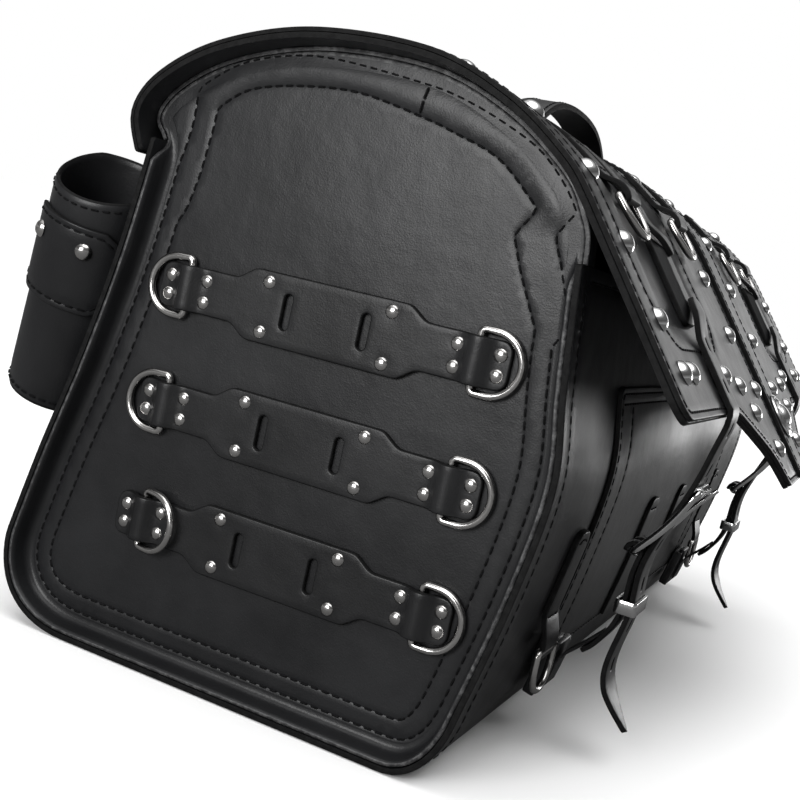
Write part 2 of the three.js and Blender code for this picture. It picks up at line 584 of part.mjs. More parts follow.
// ---------------------------------------------------------------- bottle pouch on the back
const POUCH_RADIUS = 32;
const POUCH_LENGTH = 146;
const POUCH_BASE = [-266, 194, 128];
const POUCH_MOUTH = [-294, 161, 264];
const pouchUp = new THREE.Vector3(...POUCH_MOUTH).sub(new THREE.Vector3(...POUCH_BASE)).normalize();
const pouchSide = new THREE.Vector3(1, 0, 0).addScaledVector(pouchUp, -pouchUp.x).normalize();
const pouch = frame(POUCH_BASE, pouchSide.toArray(), pouchUp.toArray());
const pouchWall = cut(
  rod(POUCH_RADIUS, POUCH_LENGTH, "y", 28).translate(0, POUCH_LENGTH / 2, 0),
  rod(POUCH_RADIUS - STRAP, POUCH_LENGTH + 20, "y", 28).translate(0, POUCH_LENGTH / 2, 0),
  block(120, 60, 120, [0, 0, 0]).rotateZ(rad(15)).translate(-8, POUCH_LENGTH + 30, 0));
add("bottle_pouch", pouchWall, leather, pouch);
add("pouch_base", rod(POUCH_RADIUS - STRAP - GAP, 3.4, "y", 28).translate(0, 2.4, 0), leather, pouch);
const bandOuter = rod(POUCH_RADIUS + GAP + OVERLAY, 52, "y", 28);
const bandInner = rod(POUCH_RADIUS + GAP, 60, "y", 28);
const band = cut(bandOuter, bandInner, block(90, 70, 60, [0, 0, 34]));
add("pouch_band", band.translate(0, 92, 0), leather, pouch);

// The origin is the middle of the whole bag's footprint.
bag.updateMatrixWorld(true);
const middle = new THREE.Box3().setFromObject(bag, true).getCenter(new THREE.Vector3());
bag.position.set(-middle.x, -middle.y, 0);

export default bag;
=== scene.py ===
"""Leather motorcycle bag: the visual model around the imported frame.

Lengths are millimetres in the bag's own axes (X along the bag, -Y front, +Z up) and become metres
in the row frame as each mesh is made.
"""

import math

import bmesh
import bpy
import numpy as np
from mathutils import Matrix, Vector
from mathutils.geometry import delaunay_2d_cdt
from mathutils.kdtree import KDTree


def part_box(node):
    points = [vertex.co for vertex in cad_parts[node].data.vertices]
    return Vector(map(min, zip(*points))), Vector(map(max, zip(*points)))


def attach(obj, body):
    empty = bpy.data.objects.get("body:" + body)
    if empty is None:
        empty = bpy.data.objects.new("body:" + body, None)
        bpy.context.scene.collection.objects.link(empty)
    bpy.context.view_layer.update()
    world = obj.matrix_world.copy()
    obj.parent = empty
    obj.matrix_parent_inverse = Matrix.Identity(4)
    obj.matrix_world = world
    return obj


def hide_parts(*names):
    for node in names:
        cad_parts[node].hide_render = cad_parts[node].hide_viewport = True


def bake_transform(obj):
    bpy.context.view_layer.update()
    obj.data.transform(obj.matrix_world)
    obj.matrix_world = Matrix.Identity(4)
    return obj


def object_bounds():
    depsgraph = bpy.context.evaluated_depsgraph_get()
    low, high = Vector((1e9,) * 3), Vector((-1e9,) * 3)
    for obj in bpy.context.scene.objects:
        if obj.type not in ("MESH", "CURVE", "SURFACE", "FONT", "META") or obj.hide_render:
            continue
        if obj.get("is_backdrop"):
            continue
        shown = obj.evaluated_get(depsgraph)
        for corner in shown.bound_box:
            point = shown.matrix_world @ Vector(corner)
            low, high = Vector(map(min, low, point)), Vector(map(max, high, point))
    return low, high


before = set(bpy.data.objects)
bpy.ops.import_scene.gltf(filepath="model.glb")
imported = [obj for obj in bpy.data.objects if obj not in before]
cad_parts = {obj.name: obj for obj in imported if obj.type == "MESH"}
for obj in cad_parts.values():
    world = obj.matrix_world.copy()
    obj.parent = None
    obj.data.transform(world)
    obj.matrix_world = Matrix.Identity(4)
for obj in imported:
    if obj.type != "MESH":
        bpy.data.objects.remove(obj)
cad_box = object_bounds()

# ---------------------------------------------------------------- driving dimensions, mm
MM = 0.001
HALF_LENGTH = 320.0
LEATHER = 3.2
OVERLAY = 2.4
STRAP = 3.0
GAP = 0.3
RECESS = 13.0
FRONT_WALL = [[-130, 268], [-137, 208], [-143, 162], [-135, 100], [-122, 40]]
FRONT_CORNER = [[-122, 40], [-118, 16], [-104, 0], [-88, 0]]
BACK_CORNER = [[118, 0], [150, 0], [172, 18], [170, 50]]
BACK_WALL = [[170, 50], [158, 104], [143, 162], [130, 226], [122, 288]]
LID_ARCH = [[127, 279], [134.5, 300], [122, 321], [88, 341.5], [35, 354.5],
            [-30, 353], [-76, 337], [-110, 314], [-125, 298]]
ARCH_FRONT = [-128.5, 283]
ARCH_INSET = 2.7
RIM_TOP = [[-130, 267], [122, 287]]
LID_HALF = 322.0
BAY_DEPTH = OVERLAY + GAP
LID_FALL = math.radians(52.8)
LID_EDGE = 113.0
TONGUE_EDGE = 166.0
TONGUE_HALF = 76.0
TONGUE_ROOT = 158.0
STRAP_X = 195.0
STRAP_WIDTH = 25.0
FRONT_TAB_X = 52.0
WIRE = 4.2
RING_INNER = 28.0
RING_ARM = 8.0
RING_BAR_LIFT = WIRE / 2 + 0.5
LID_RING_X = [-232, -104, 104, 232]
LID_RING_STATION = -12.0
MOUNT_RING_U = 86.0
PLATE_Z = {"top": 212.0, "middle": 146.4, "bottom": 80.8}
CAMERA_AT = (-845.6, -278.4, 249.6)
CAMERA_RIGHT = (0.4037, -0.889, 0.2162)
CAMERA_DOWN = (-0.0169, -0.2435, -0.9698)
CAMERA_LENS = 52.3
SKY = [(0.0, 0.5), (0.3, 0.12), (0.6, 0.22), (0.88, 1.3)]  # the studio's brightness by height
FLOOR_PALE = (0.9, 0.9, 0.9, 1)
FLOOR_MIRRORED = (0.15, 0.15, 0.15, 1)  # the floor's colour where leather and metal mirror it
FLOOR_REACH = 60.0
FLOOR_DROP = 0.0005


def middle_of(node, axis):
    low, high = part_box(node)
    return (low[axis] + high[axis]) / 2


SHIFT = np.array([middle_of("body_wrap", 0), middle_of("mount_plate_top", 1), 0.0])


def row(points):
    """Bag millimetres to row-frame metres."""
    return np.asarray(points, float) * MM + SHIFT


def nodes_of(name):
    """A new material, its nodes and its main shader."""
    material = bpy.data.materials.new(name)
    material.use_nodes = True
    tree = material.node_tree
    return material, tree, tree.nodes["Principled BSDF"]


# ---------------------------------------------------------------- camera, floor and light
def make_camera():
    right = Vector(CAMERA_RIGHT).normalized()
    down = Vector(CAMERA_DOWN)
    down = (down - right * down.dot(right)).normalized()
    forward = right.cross(down)
    camera = bpy.data.objects.new("camera", bpy.data.cameras.new("camera"))
    camera.data.lens = CAMERA_LENS
    camera.data.sensor_width = 36
    camera.data.clip_start = 0.02
    turn = Matrix((right, -down, -forward)).transposed().to_4x4()
    camera.matrix_world = Matrix.Translation(Vector(row(CAMERA_AT))) @ turn
    bpy.context.collection.objects.link(camera)
    bpy.context.scene.camera = camera


def make_light(name, at, aim, size, power):
    data = bpy.data.lights.new(name, "AREA")
    data.shape = "RECTANGLE"
    data.size, data.size_y = size
    data.energy = power
    lamp = bpy.data.objects.new(name, data)
    lamp.location = at
    lamp.rotation_mode = "QUATERNION"
    lamp.rotation_quaternion = (Vector(aim) - Vector(at)).to_track_quat("-Z", "Y")
    bpy.context.collection.objects.link(lamp)


def make_sun(strength, spread):
    data = bpy.data.lights.new("sun", "SUN")
    data.energy = strength
    data.angle = math.radians(spread)
    lamp = bpy.data.objects.new("sun", data)
    lamp.rotation_mode = "QUATERNION"
    lamp.rotation_quaternion = Vector((0.12, 0.18, -1)).to_track_quat("-Z", "Y")
    bpy.context.collection.objects.link(lamp)


def make_stage():
    """A pale floor, dimmer in reflections so that black leather stays black."""
    material, tree, shader = nodes_of("floor")
    shader.inputs["Base Color"].default_value = FLOOR_PALE
    shader.inputs["Roughness"].default_value = 0.8
    shader.inputs["Specular IOR Level"].default_value = 0.0
    dim = tree.nodes.new("ShaderNodeBsdfDiffuse")
    dim.inputs["Color"].default_value = FLOOR_MIRRORED
    ray = tree.nodes.new("ShaderNodeLightPath")
    mix = tree.nodes.new("ShaderNodeMixShader")
    tree.links.new(ray.outputs["Is Glossy Ray"], mix.inputs[0])
    tree.links.new(shader.outputs[0], mix.inputs[1])
    tree.links.new(dim.outputs[0], mix.inputs[2])
    tree.links.new(mix.outputs[0], tree.nodes["Material Output"].inputs["Surface"])
    mesh = bpy.data.meshes.new("floor")
    corners = [(a * FLOOR_REACH, b * FLOOR_REACH, 0) for a, b in ((-1, -1), (1, -1), (1, 1), (-1, 1))]
    mesh.from_pydata(corners, [], [(0, 1, 2, 3)])
    mesh.materials.append(material)
    floor = bpy.data.objects.new("floor", mesh)
    floor.location.z = -FLOOR_DROP
    bpy.context.collection.objects.link(floor)
    floor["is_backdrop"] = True
    make_sky()


def make_sky():
    """A white backdrop, and a studio's light that changes with height and is brightest overhead."""
    world = bpy.data.worlds.new("sky")
    world.use_nodes = True
    tree = world.node_tree
    plain = tree.nodes["Background"]
    plain.inputs["Color"].default_value = (1, 1, 1, 1)
    plain.inputs["Strength"].default_value = 1.0
    place = tree.nodes.new("ShaderNodeTexCoord")
    split = tree.nodes.new("ShaderNodeSeparateXYZ")
    height = tree.nodes.new("ShaderNodeValToRGB")
    height.color_ramp.elements.remove(height.color_ramp.elements[-1])
    for position, level in SKY:
        stop = height.color_ramp.elements.new(position)
        stop.color = (level, level, level, 1)
    lighting = tree.nodes.new("ShaderNodeBackground")
    ray = tree.nodes.new("ShaderNodeLightPath")
    mix = tree.nodes.new("ShaderNodeMixShader")
    tree.links.new(place.outputs["Generated"], split.inputs[0])
    tree.links.new(split.outputs["Z"], height.inputs["Fac"])
    tree.links.new(height.outputs["Color"], lighting.inputs["Color"])
    tree.links.new(ray.outputs["Is Camera Ray"], mix.inputs[0])
    tree.links.new(lighting.outputs[0], mix.inputs[1])
    tree.links.new(plain.outputs[0], mix.inputs[2])
    tree.links.new(mix.outputs[0], tree.nodes["World Output"].inputs["Surface"])
    scene = bpy.context.scene
    scene.world = world
    scene.view_settings.view_transform = "Standard"


make_camera()
make_stage()
make_sun(1.7, 60)
make_light("side", (-1.9, 0.25, 0.7), (-0.3, 0, 0.2), (0.9, 0.8), 29)
make_light("front", (2.9, -1.5, 0.3), (0, -0.1, 0.15), (1.2, 0.6), 20)
make_light("far", (3.0, -0.2, 0.85), (0, 0, 0.3), (1.6, 0.8), 5.5)


# ---------------------------------------------------------------- materials
def texture(tree, kind, scale, detail=3.0, roughness=0.5):
    """The value of a texture in object space: noise, grain (soft cells), or X or Z for ribs."""
    place = tree.nodes.get("place") or tree.nodes.new("ShaderNodeTexCoord")
    place.name = "place"
    makers = {"noise": "ShaderNodeTexNoise", "grain": "ShaderNodeTexVoronoi"}
    node = tree.nodes.new(makers.get(kind, "ShaderNodeTexWave"))
    node.inputs["Scale"].default_value = scale
    tree.links.new(place.outputs["Object"], node.inputs["Vector"])
    if kind == "noise":
        node.inputs["Detail"].default_value = detail
        node.inputs["Roughness"].default_value = roughness
        return node.outputs["Fac"]
    if kind == "grain":
        node.feature = "SMOOTH_F1"
        return node.outputs["Distance"]
    node.bands_direction = kind
    return node.outputs["Fac"]


def make_material(name, tint, tint_noise, rough, relief, rough_noise=None, specular=None,
                  stops=(0.35, 0.65), metallic=0):
    """A material: tint is its dark and light colour, rough its roughness or range, relief its bumps.

    Each noise is (scale, detail[, roughness]); each bump is (texture, strength, distance in metres).
    """
    material, tree, shader = nodes_of(name)
    ramp = tree.nodes.new("ShaderNodeValToRGB")
    for stop, position, colour in zip(ramp.color_ramp.elements, stops, tint):
        stop.position = position
        stop.color = (*colour, 1)
    tree.links.new(texture(tree, "noise", *tint_noise), ramp.inputs["Fac"])
    tree.links.new(ramp.outputs["Color"], shader.inputs["Base Color"])
    if rough_noise:
        spread = tree.nodes.new("ShaderNodeMapRange")
        spread.inputs["To Min"].default_value, spread.inputs["To Max"].default_value = rough
        tree.links.new(texture(tree, "noise", *rough_noise), spread.inputs["Value"])
        tree.links.new(spread.outputs["Result"], shader.inputs["Roughness"])
    else:
        shader.inputs["Roughness"].default_value = rough
    normal = None
    for kind, strength, distance in relief:
        node = tree.nodes.new("ShaderNodeBump")
        node.inputs["Strength"].default_value = strength
        node.inputs["Distance"].default_value = distance
        tree.links.new(texture(tree, *kind), node.inputs["Height"])
        if normal is not None:
            tree.links.new(normal, node.inputs["Normal"])
        normal = node.outputs["Normal"]
    tree.links.new(normal, shader.inputs["Normal"])
    if specular is not None:
        shader.inputs["Specular IOR Level"].default_value = specular
    shader.inputs["Metallic"].default_value = metallic
    return material


def leather(name, tint, rough):
    relief = [(("noise", 24, 2), 0.35, 0.0022), (("noise", 160, 3), 0.25, 0.0005),
              (("grain", 1150), 0.35, 0.00016)]
    return make_material(name, tint, (14, 5), (rough - 0.07, rough + 0.08), relief, (55, 4), 0.3)


def metal(name, bright, rough):
    tint = (tuple(c * 0.86 for c in bright), bright)
    relief = [(("noise", 420, 3), 0.12, 0.0002)]
    return make_material(name, tint, (60, 4), (rough, rough + 0.1), relief, (240, 4), metallic=1)


BODY_LEATHER = leather("body_leather", ((0.0055, 0.0056, 0.0062), (0.0095, 0.0097, 0.0105)), 0.38)
STRAP_LEATHER = leather("strap_leather", ((0.0045, 0.0046, 0.005), (0.0085, 0.0086, 0.0092)), 0.4)
CUT_EDGE = make_material(
    "cut_edge", ((0.0015, 0.0015, 0.0016), (0.007, 0.007, 0.0072)), (260, 5, 0.7), (0.6, 0.85),
    [(("noise", 700, 4), 0.6, 0.0004)], (120, 3), 0.15, (0.4, 0.8))
WORN_EDGE = make_material(
    "worn_edge", ((0.008, 0.008, 0.009), (0.11, 0.11, 0.11)), (210, 6, 0.75), (0.35, 0.7),
    [(("noise", 800, 4), 0.5, 0.0003)], (150, 3), None, (0.45, 0.8))
THREAD = make_material(
    "thread", ((0.0012, 0.0012, 0.0013), (0.004, 0.004, 0.0045)), (900, 2), 0.85,
    [(("X", 900), 0.4, 0.0002)], specular=0.12)
NICKEL = metal("nickel", (0.5, 0.49, 0.48), 0.14)
CHROME = metal("chrome", (0.56, 0.56, 0.56), 0.06)
PLASTIC = make_material(
    "moulded_plastic", ((0.006, 0.006, 0.007), (0.012, 0.012, 0.013)), (90, 3), (0.4, 0.52),
    [(("noise", 2200, 2), 0.3, 0.0001)], (500, 2))
WEBBING = make_material(
    "webbing", ((0.004, 0.004, 0.0045), (0.012, 0.012, 0.013)), (700, 3), 0.8,
    [(("noise", 1500, 2), 0.3, 0.0002), (("X", 210), 0.5, 0.0004), (("Z", 210), 0.5, 0.0004)], specular=0.25)
BOARD = make_material(
    "fibre_board", ((0.02, 0.017, 0.014), (0.06, 0.05, 0.04)), (300, 6, 0.7), (0.75, 0.9),
    [(("noise", 900, 4), 0.5, 0.0004)], (180, 3))
BODY_SKIN = [BODY_LEATHER, CUT_EDGE]
STRAP_SKIN = [STRAP_LEATHER, CUT_EDGE]
WORN_SKIN = [BODY_LEATHER, WORN_EDGE]


# ---------------------------------------------------------------- curves in two dimensions
def unit(v):
    return v / max(np.linalg.norm(v), 1e-12)


def resample(path, count):
    """The path again, with count + 1 evenly spaced points."""
    path = np.asarray(path, float)
    length = np.concatenate([[0], np.cumsum(np.linalg.norm(np.diff(path, axis=0), axis=1))])
    at = np.linspace(0, length[-1], count + 1)
    return np.stack([np.interp(at, length, path[:, k]) for k in range(path.shape[1])], -1)


def spline(points, count):
    """A smooth curve through the points (Catmull-Rom), evenly spaced."""
    p = np.array(points, float)
    t = np.linspace(0, len(p) - 1, 40 * len(p))
    i = np.minimum(t.astype(int), len(p) - 2)
    w = (t - i)[:, None]
    before, a, b, after = p[np.maximum(i - 1, 0)], p[i], p[i + 1], p[np.minimum(i + 2, len(p) - 1)]
    leave, arrive = (b - before) / 2, (after - a) / 2
    curve = (2 * a - 2 * b + leave + arrive) * w**3 + (3 * b - 3 * a - 2 * leave - arrive) * w**2
    return resample(curve + leave * w + a, count)


def bezier(points, count):
    t = np.linspace(0, 1, 60)[:, None]
    a, b, c, d = np.array(points, float)
    return resample(a * (1 - t)**3 + 3 * b * t * (1 - t)**2 + 3 * c * t**2 * (1 - t) + d * t**3, count)


def turned_left(points, closed):
    """Unit side vectors, to the left of the path's direction, lengthened at its corners."""
    points = np.asarray(points, float)
    step = np.roll(points, -1, axis=0) - points
    if not closed:
        step[-1] = step[-2]
    step /= np.maximum(np.linalg.norm(step, axis=1, keepdims=True), 1e-9)
    left = np.stack([-step[:, 1], step[:, 0]], -1)
    before = np.roll(left, 1, axis=0)
    if not closed:
        before[0] = left[0]
    total = left + before
    share = np.maximum(1 + (left * before).sum(1, keepdims=True), 0.5)
    return total / share


def inset(loop, distance):
    return loop + turned_left(loop, True) * distance


def area(loop):
    x, y = loop[:, 0], loop[:, 1]
    return 0.5 * (x * np.roll(y, -1) - y * np.roll(x, -1)).sum()


def outline(corners, spacing=4.0, closed=True):
    """A path through corners given as (a, b) or (a, b, radius), in steps of about spacing."""
    count = len(corners)
    points = []
    for i, corner in enumerate(corners):
        at = np.array(corner[:2], float)
        radius = corner[2] if len(corner) > 2 else 0
        if radius <= 0 or (not closed and i in (0, count - 1)):
            points.append(at)
            continue
        a = np.array(corners[i - 1][:2], float) - at
        b = np.array(corners[(i + 1) % count][:2], float) - at
        half = math.acos(max(-1, min(1, float(unit(a) @ unit(b))))) / 2
        reach = radius / math.tan(half)
        centre = at + unit(unit(a) + unit(b)) * radius / math.sin(half)
        start = at + unit(a) * reach - centre
        end = at + unit(b) * reach - centre
        sweep = math.atan2(start[0] * end[1] - start[1] * end[0], float(start @ end))
        steps = max(4, math.ceil(abs(sweep) * radius / spacing))
        for k in range(steps + 1):
            turn = sweep * k / steps
            c, s = math.cos(turn), math.sin(turn)
            points.append(centre + [c * start[0] - s * start[1], s * start[0] + c * start[1]])
    filled = []
    for i, point in enumerate(points):
        filled.append(point)
        if not closed and i == len(points) - 1:
            break
        after = points[(i + 1) % len(points)]
        parts = max(1, math.ceil(np.linalg.norm(after - point) / spacing))
        filled += [point + (after - point) * k / parts for k in range(1, parts)]
    loop = np.array(filled)
    keep = np.linalg.norm(loop - np.roll(loop, 1, axis=0), axis=1) > 1e-6
    if not closed:
        keep[0] = True
    return loop[keep]


def box_outline(a0, a1, b0, b1, radius=0.0, spacing=4.0):
    return outline([(a0, b0, radius), (a1, b0, radius), (a1, b1, radius), (a0, b1, radius)], spacing)


def oval(a, b, width, length, spacing=1.2):
    radius = width / 2
    return box_outline(a - width / 2, a + width / 2, b - length / 2, b + length / 2, radius * 0.98, spacing)


def within(points, loop):
    """True for the points inside a closed loop."""
    x, y = points[:, 0][:, None], points[:, 1][:, None]
    x0, y0 = loop[:, 0], loop[:, 1]
    x1, y1 = np.roll(x0, -1), np.roll(y0, -1)
    rise = np.where(np.abs(y1 - y0) < 1e-12, 1e-12, y1 - y0)
    crosses = ((y0 > y) != (y1 > y)) & (x < x0 + (y - y0) * (x1 - x0) / rise)
    return crosses.sum(1) % 2 == 1


class Profile:
    """A path in the Y-Z plane: a point by its distance along, and lift to its right-hand side."""

    def __init__(self, points, start=0.0):
        self.points = np.asarray(points, float)
        steps = np.linalg.norm(np.diff(self.points, axis=0), axis=1)
        self.s = start + np.concatenate([[0], np.cumsum(steps)])
        self.out = -turned_left(self.points, False)

    @property
    def length(self):
        return self.s[-1] - self.s[0]

    def at(self, s, lift=0.0):
        s = np.asarray(s, float)
        p = np.stack([np.interp(s, self.s, self.points[:, k]) for k in (0, 1)], -1)
        n = np.stack([np.interp(s, self.s, self.out[:, k]) for k in (0, 1)], -1)
        n /= np.linalg.norm(n, axis=-1, keepdims=True)
        ends = self.points[[1, 0, -1, -2]]
        before = np.minimum(s - self.s[0], 0)[..., None] * unit(ends[0] - ends[1])
        after = np.maximum(s - self.s[-1], 0)[..., None] * unit(ends[2] - ends[3])
        return p + before + after + n * np.asarray(lift, float)[..., None]


# ---------------------------------------------------------------- the bag's own surfaces
front_wall = spline(FRONT_WALL, 60)
back_wall = spline(BACK_WALL, 60)
wrap_path = np.vstack([front_wall, bezier(FRONT_CORNER, 16)[1:],
                       resample([FRONT_CORNER[-1], BACK_CORNER[0]], 40)[1:],
                       bezier(BACK_CORNER, 20)[1:], back_wall[1:]])
WRAP = Profile(wrap_path)

arch_path = spline(LID_ARCH, 110)
arch_end = arch_path[-1]
fall = np.array([-math.cos(LID_FALL), -math.sin(LID_FALL)])
slope = arch_end + np.outer(np.arange(4, TONGUE_EDGE + 24, 4), fall)
LID = Profile(np.vstack([arch_path, slope]))
LID.s -= LID.s[len(arch_path) - 1]
LID_BACK = LID.s[0]


def front_station(height):
    """Distance down the front wall to a height."""
    return float(np.interp(-height, -front_wall[:, 1], WRAP.s[:len(front_wall)]))


def back_station(height):
    return float(np.interp(height, back_wall[:, 1], WRAP.s[-len(back_wall):]))


def wrap_sag(x, s):
    """Soft walls draw in a little between the stiff ends, with long shallow waves."""
    middle = 1 - np.clip(np.abs(x) / HALF_LENGTH, 0, 1)**4
    low, high = front_station(255), front_station(50)
    front = np.sin(np.pi * np.clip((s - low) / (high - low), 0, 1))
    low, high = back_station(60), back_station(270)
    back = np.sin(np.pi * np.clip((s - low) / (high - low), 0, 1))
    wave = np.sin(x / 57 + s / 41) + 0.7 * np.sin(x / 33 - s / 65 + 1.3)
    return -middle * (front * (1.6 + 0.5 * wave) + back * (2.4 + 0.7 * wave))


def step(value, low, high):
    """0 below low, 1 above high, smooth between."""
    share = np.clip((value - low) / (high - low), 0, 1)
    return share * share * (3 - 2 * share)


def lid_bay(x, s):
    """The two shallow bays that the straps and the outer rings lie in."""
    across = step(np.abs(x), 134, 150) * (1 - step(np.abs(x), 254, 272))
    return across * step(s, LID_BACK + 30, LID_BACK + 54) * (1 - step(s, 58, 76))


def lid_sag(x, s):
    middle = 1 - np.clip(np.abs(x) / LID_HALF, 0, 1)**6
    top = np.exp(-((s + 150) / 90)**2)
    wave = np.sin(x / 71 + s / 47 + 0.6) + 0.6 * np.sin(x / 38 - s / 59)
    return middle * (0.22 * wave - 0.45 - 1.5 * top) - BAY_DEPTH * lid_bay(x, s)


def on_lid(x, s, lift=0.0):
    yz = LID.at(s, lift + lid_sag(x, s))
    return np.stack([np.broadcast_to(x, np.shape(s)), yz[..., 0], yz[..., 1]], -1)


def on_wrap(x, s, lift=0.0):
    yz = WRAP.at(s, lift + wrap_sag(x, s))
    return np.stack([np.broadcast_to(x, np.shape(s)), yz[..., 0], yz[..., 1]], -1)


def on_end(side):
    face = HALF_LENGTH - RECESS
    return lambda y, z, lift=0.0: np.stack([side * (face + lift) + 0 * y, y, z], -1)


def along(profile, shift=0.0):
    """A place function over an X-wide strip that follows a profile."""
    def place(x, s, lift=0.0):
        yz = profile.at(s, lift)
        return np.stack([x + shift, yz[..., 0], yz[..., 1]], -1)
    return place


# ---------------------------------------------------------------- meshes
THREAD_RADIUS = 0.62
stitches = {}


def show(name, vertices, faces, body, materials, slots=None, smooth=35.0, weld=True):
    """Makes an object from bag-millimetre vertices. It rides on body, or on none yet when body is None."""
    mesh = bpy.data.meshes.new(name)
    mesh.from_pydata(row(vertices).tolist(), [], [tuple(int(i) for i in f) for f in faces])
    for material in materials:
        mesh.materials.append(material)
    if slots is not None:
        mesh.polygons.foreach_set("material_index", np.asarray(slots, np.int32))
    if weld:
        work = bmesh.new()
        work.from_mesh(mesh)
        bmesh.ops.remove_doubles(work, verts=work.verts, dist=0.004 * MM)
        bmesh.ops.recalc_face_normals(work, faces=work.faces)
        work.to_mesh(mesh)
        work.free()
    mesh.shade_smooth()
    mesh.set_sharp_from_angle(angle=math.radians(smooth))
    obj = bpy.data.objects.new(name, mesh)
    bpy.context.collection.objects.link(obj)
    if body:
        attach(obj, body)
    return obj


def label(piece, slot, *nodes):
    """Hides the CAD nodes that a piece stands for; the piece and its finish (slot) are not used."""
    if nodes:
        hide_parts(*nodes)


def sew(body, place, path, lift, pitch=6.4, length=4.7):
    """Stitches along an open path on a surface, kept until each body's are made."""
    path = np.asarray(path, float)
    reach = np.linalg.norm(np.diff(path, axis=0), axis=1).sum()
    count = max(2, round(reach / pitch))
    share = length / pitch / 2
    at = np.concatenate([[0], np.cumsum(np.linalg.norm(np.diff(path, axis=0), axis=1))]) / reach * count
    spots = np.arange(count) + 0.5

    def points(where):
        ab = np.stack([np.interp(where, at, path[:, k]) for k in (0, 1)], -1)
        return place(ab[:, 0], ab[:, 1], np.full(len(where), lift))

    a, b = points(spots - share), points(spots + share)
    ab = np.stack([np.interp(spots, at, path[:, k]) for k in (0, 1)], -1)
    up = place(ab[:, 0], ab[:, 1], np.full(count, lift + 1.0)) - place(ab[:, 0], ab[:, 1],
                                                                       np.full(count, lift))
    stitches.setdefault(body, []).append((a, b, up))


def make_stitches():
    """One mesh per body, with every stitch as a short thread whose ends dip into the leather."""
    sides = 5
    angle = 2 * np.pi * np.arange(sides) / sides
    rings = [(-1.0, 0.25, -0.5), (-0.72, 1.0, 0.0), (0.72, 1.0, 0.0), (1.0, 0.25, -0.5)]
    radius = THREAD_RADIUS
    for body, runs in stitches.items():
        a, b, up = (np.vstack([run[k] for run in runs]) for k in range(3))
        centre, half = (a + b) / 2, (b - a) / 2
        side = np.cross(half, up)
        side /= np.linalg.norm(side, axis=1, keepdims=True)
        up = up / np.linalg.norm(up, axis=1, keepdims=True)
        vertices = []
        for along_it, wide, sink in rings:
            for t in angle:
                vertices.append(centre + half * along_it + side * (radius * wide * math.cos(t))
                                + up * (radius * (wide * math.sin(t) + sink)))
        vertices = np.stack(vertices, 1)
        faces = [list(range(sides))[::-1], [3 * sides + k for k in range(sides)]]
        for r in range(3):
            for k in range(sides):
                n = (k + 1) % sides
                faces.append([r * sides + k, r * sides + n, (r + 1) * sides + n, (r + 1) * sides + k])
        per = vertices.shape[1]
        whole = [[i * per + v for v in face] for i in range(len(vertices)) for face in faces]
        show(f"stitches_{body}", vertices.reshape(-1, 3), whole, body, [THREAD], weld=False, smooth=60)


def clip_runs(path, loop, holes):
    """The stretches of a path that lie inside a loop and outside the holes."""
    good = within(path, loop)
    for hole in holes:
        good &= ~within(path, hole)
    runs, run = [], []
    for point, fine in zip(path, good):
        if fine:
            run.append(point)
        elif len(run) > 2:
            runs.append(np.array(run))
            run = []
        else:
            run = []
    if len(run) > 2:
        runs.append(np.array(run))
    return runs


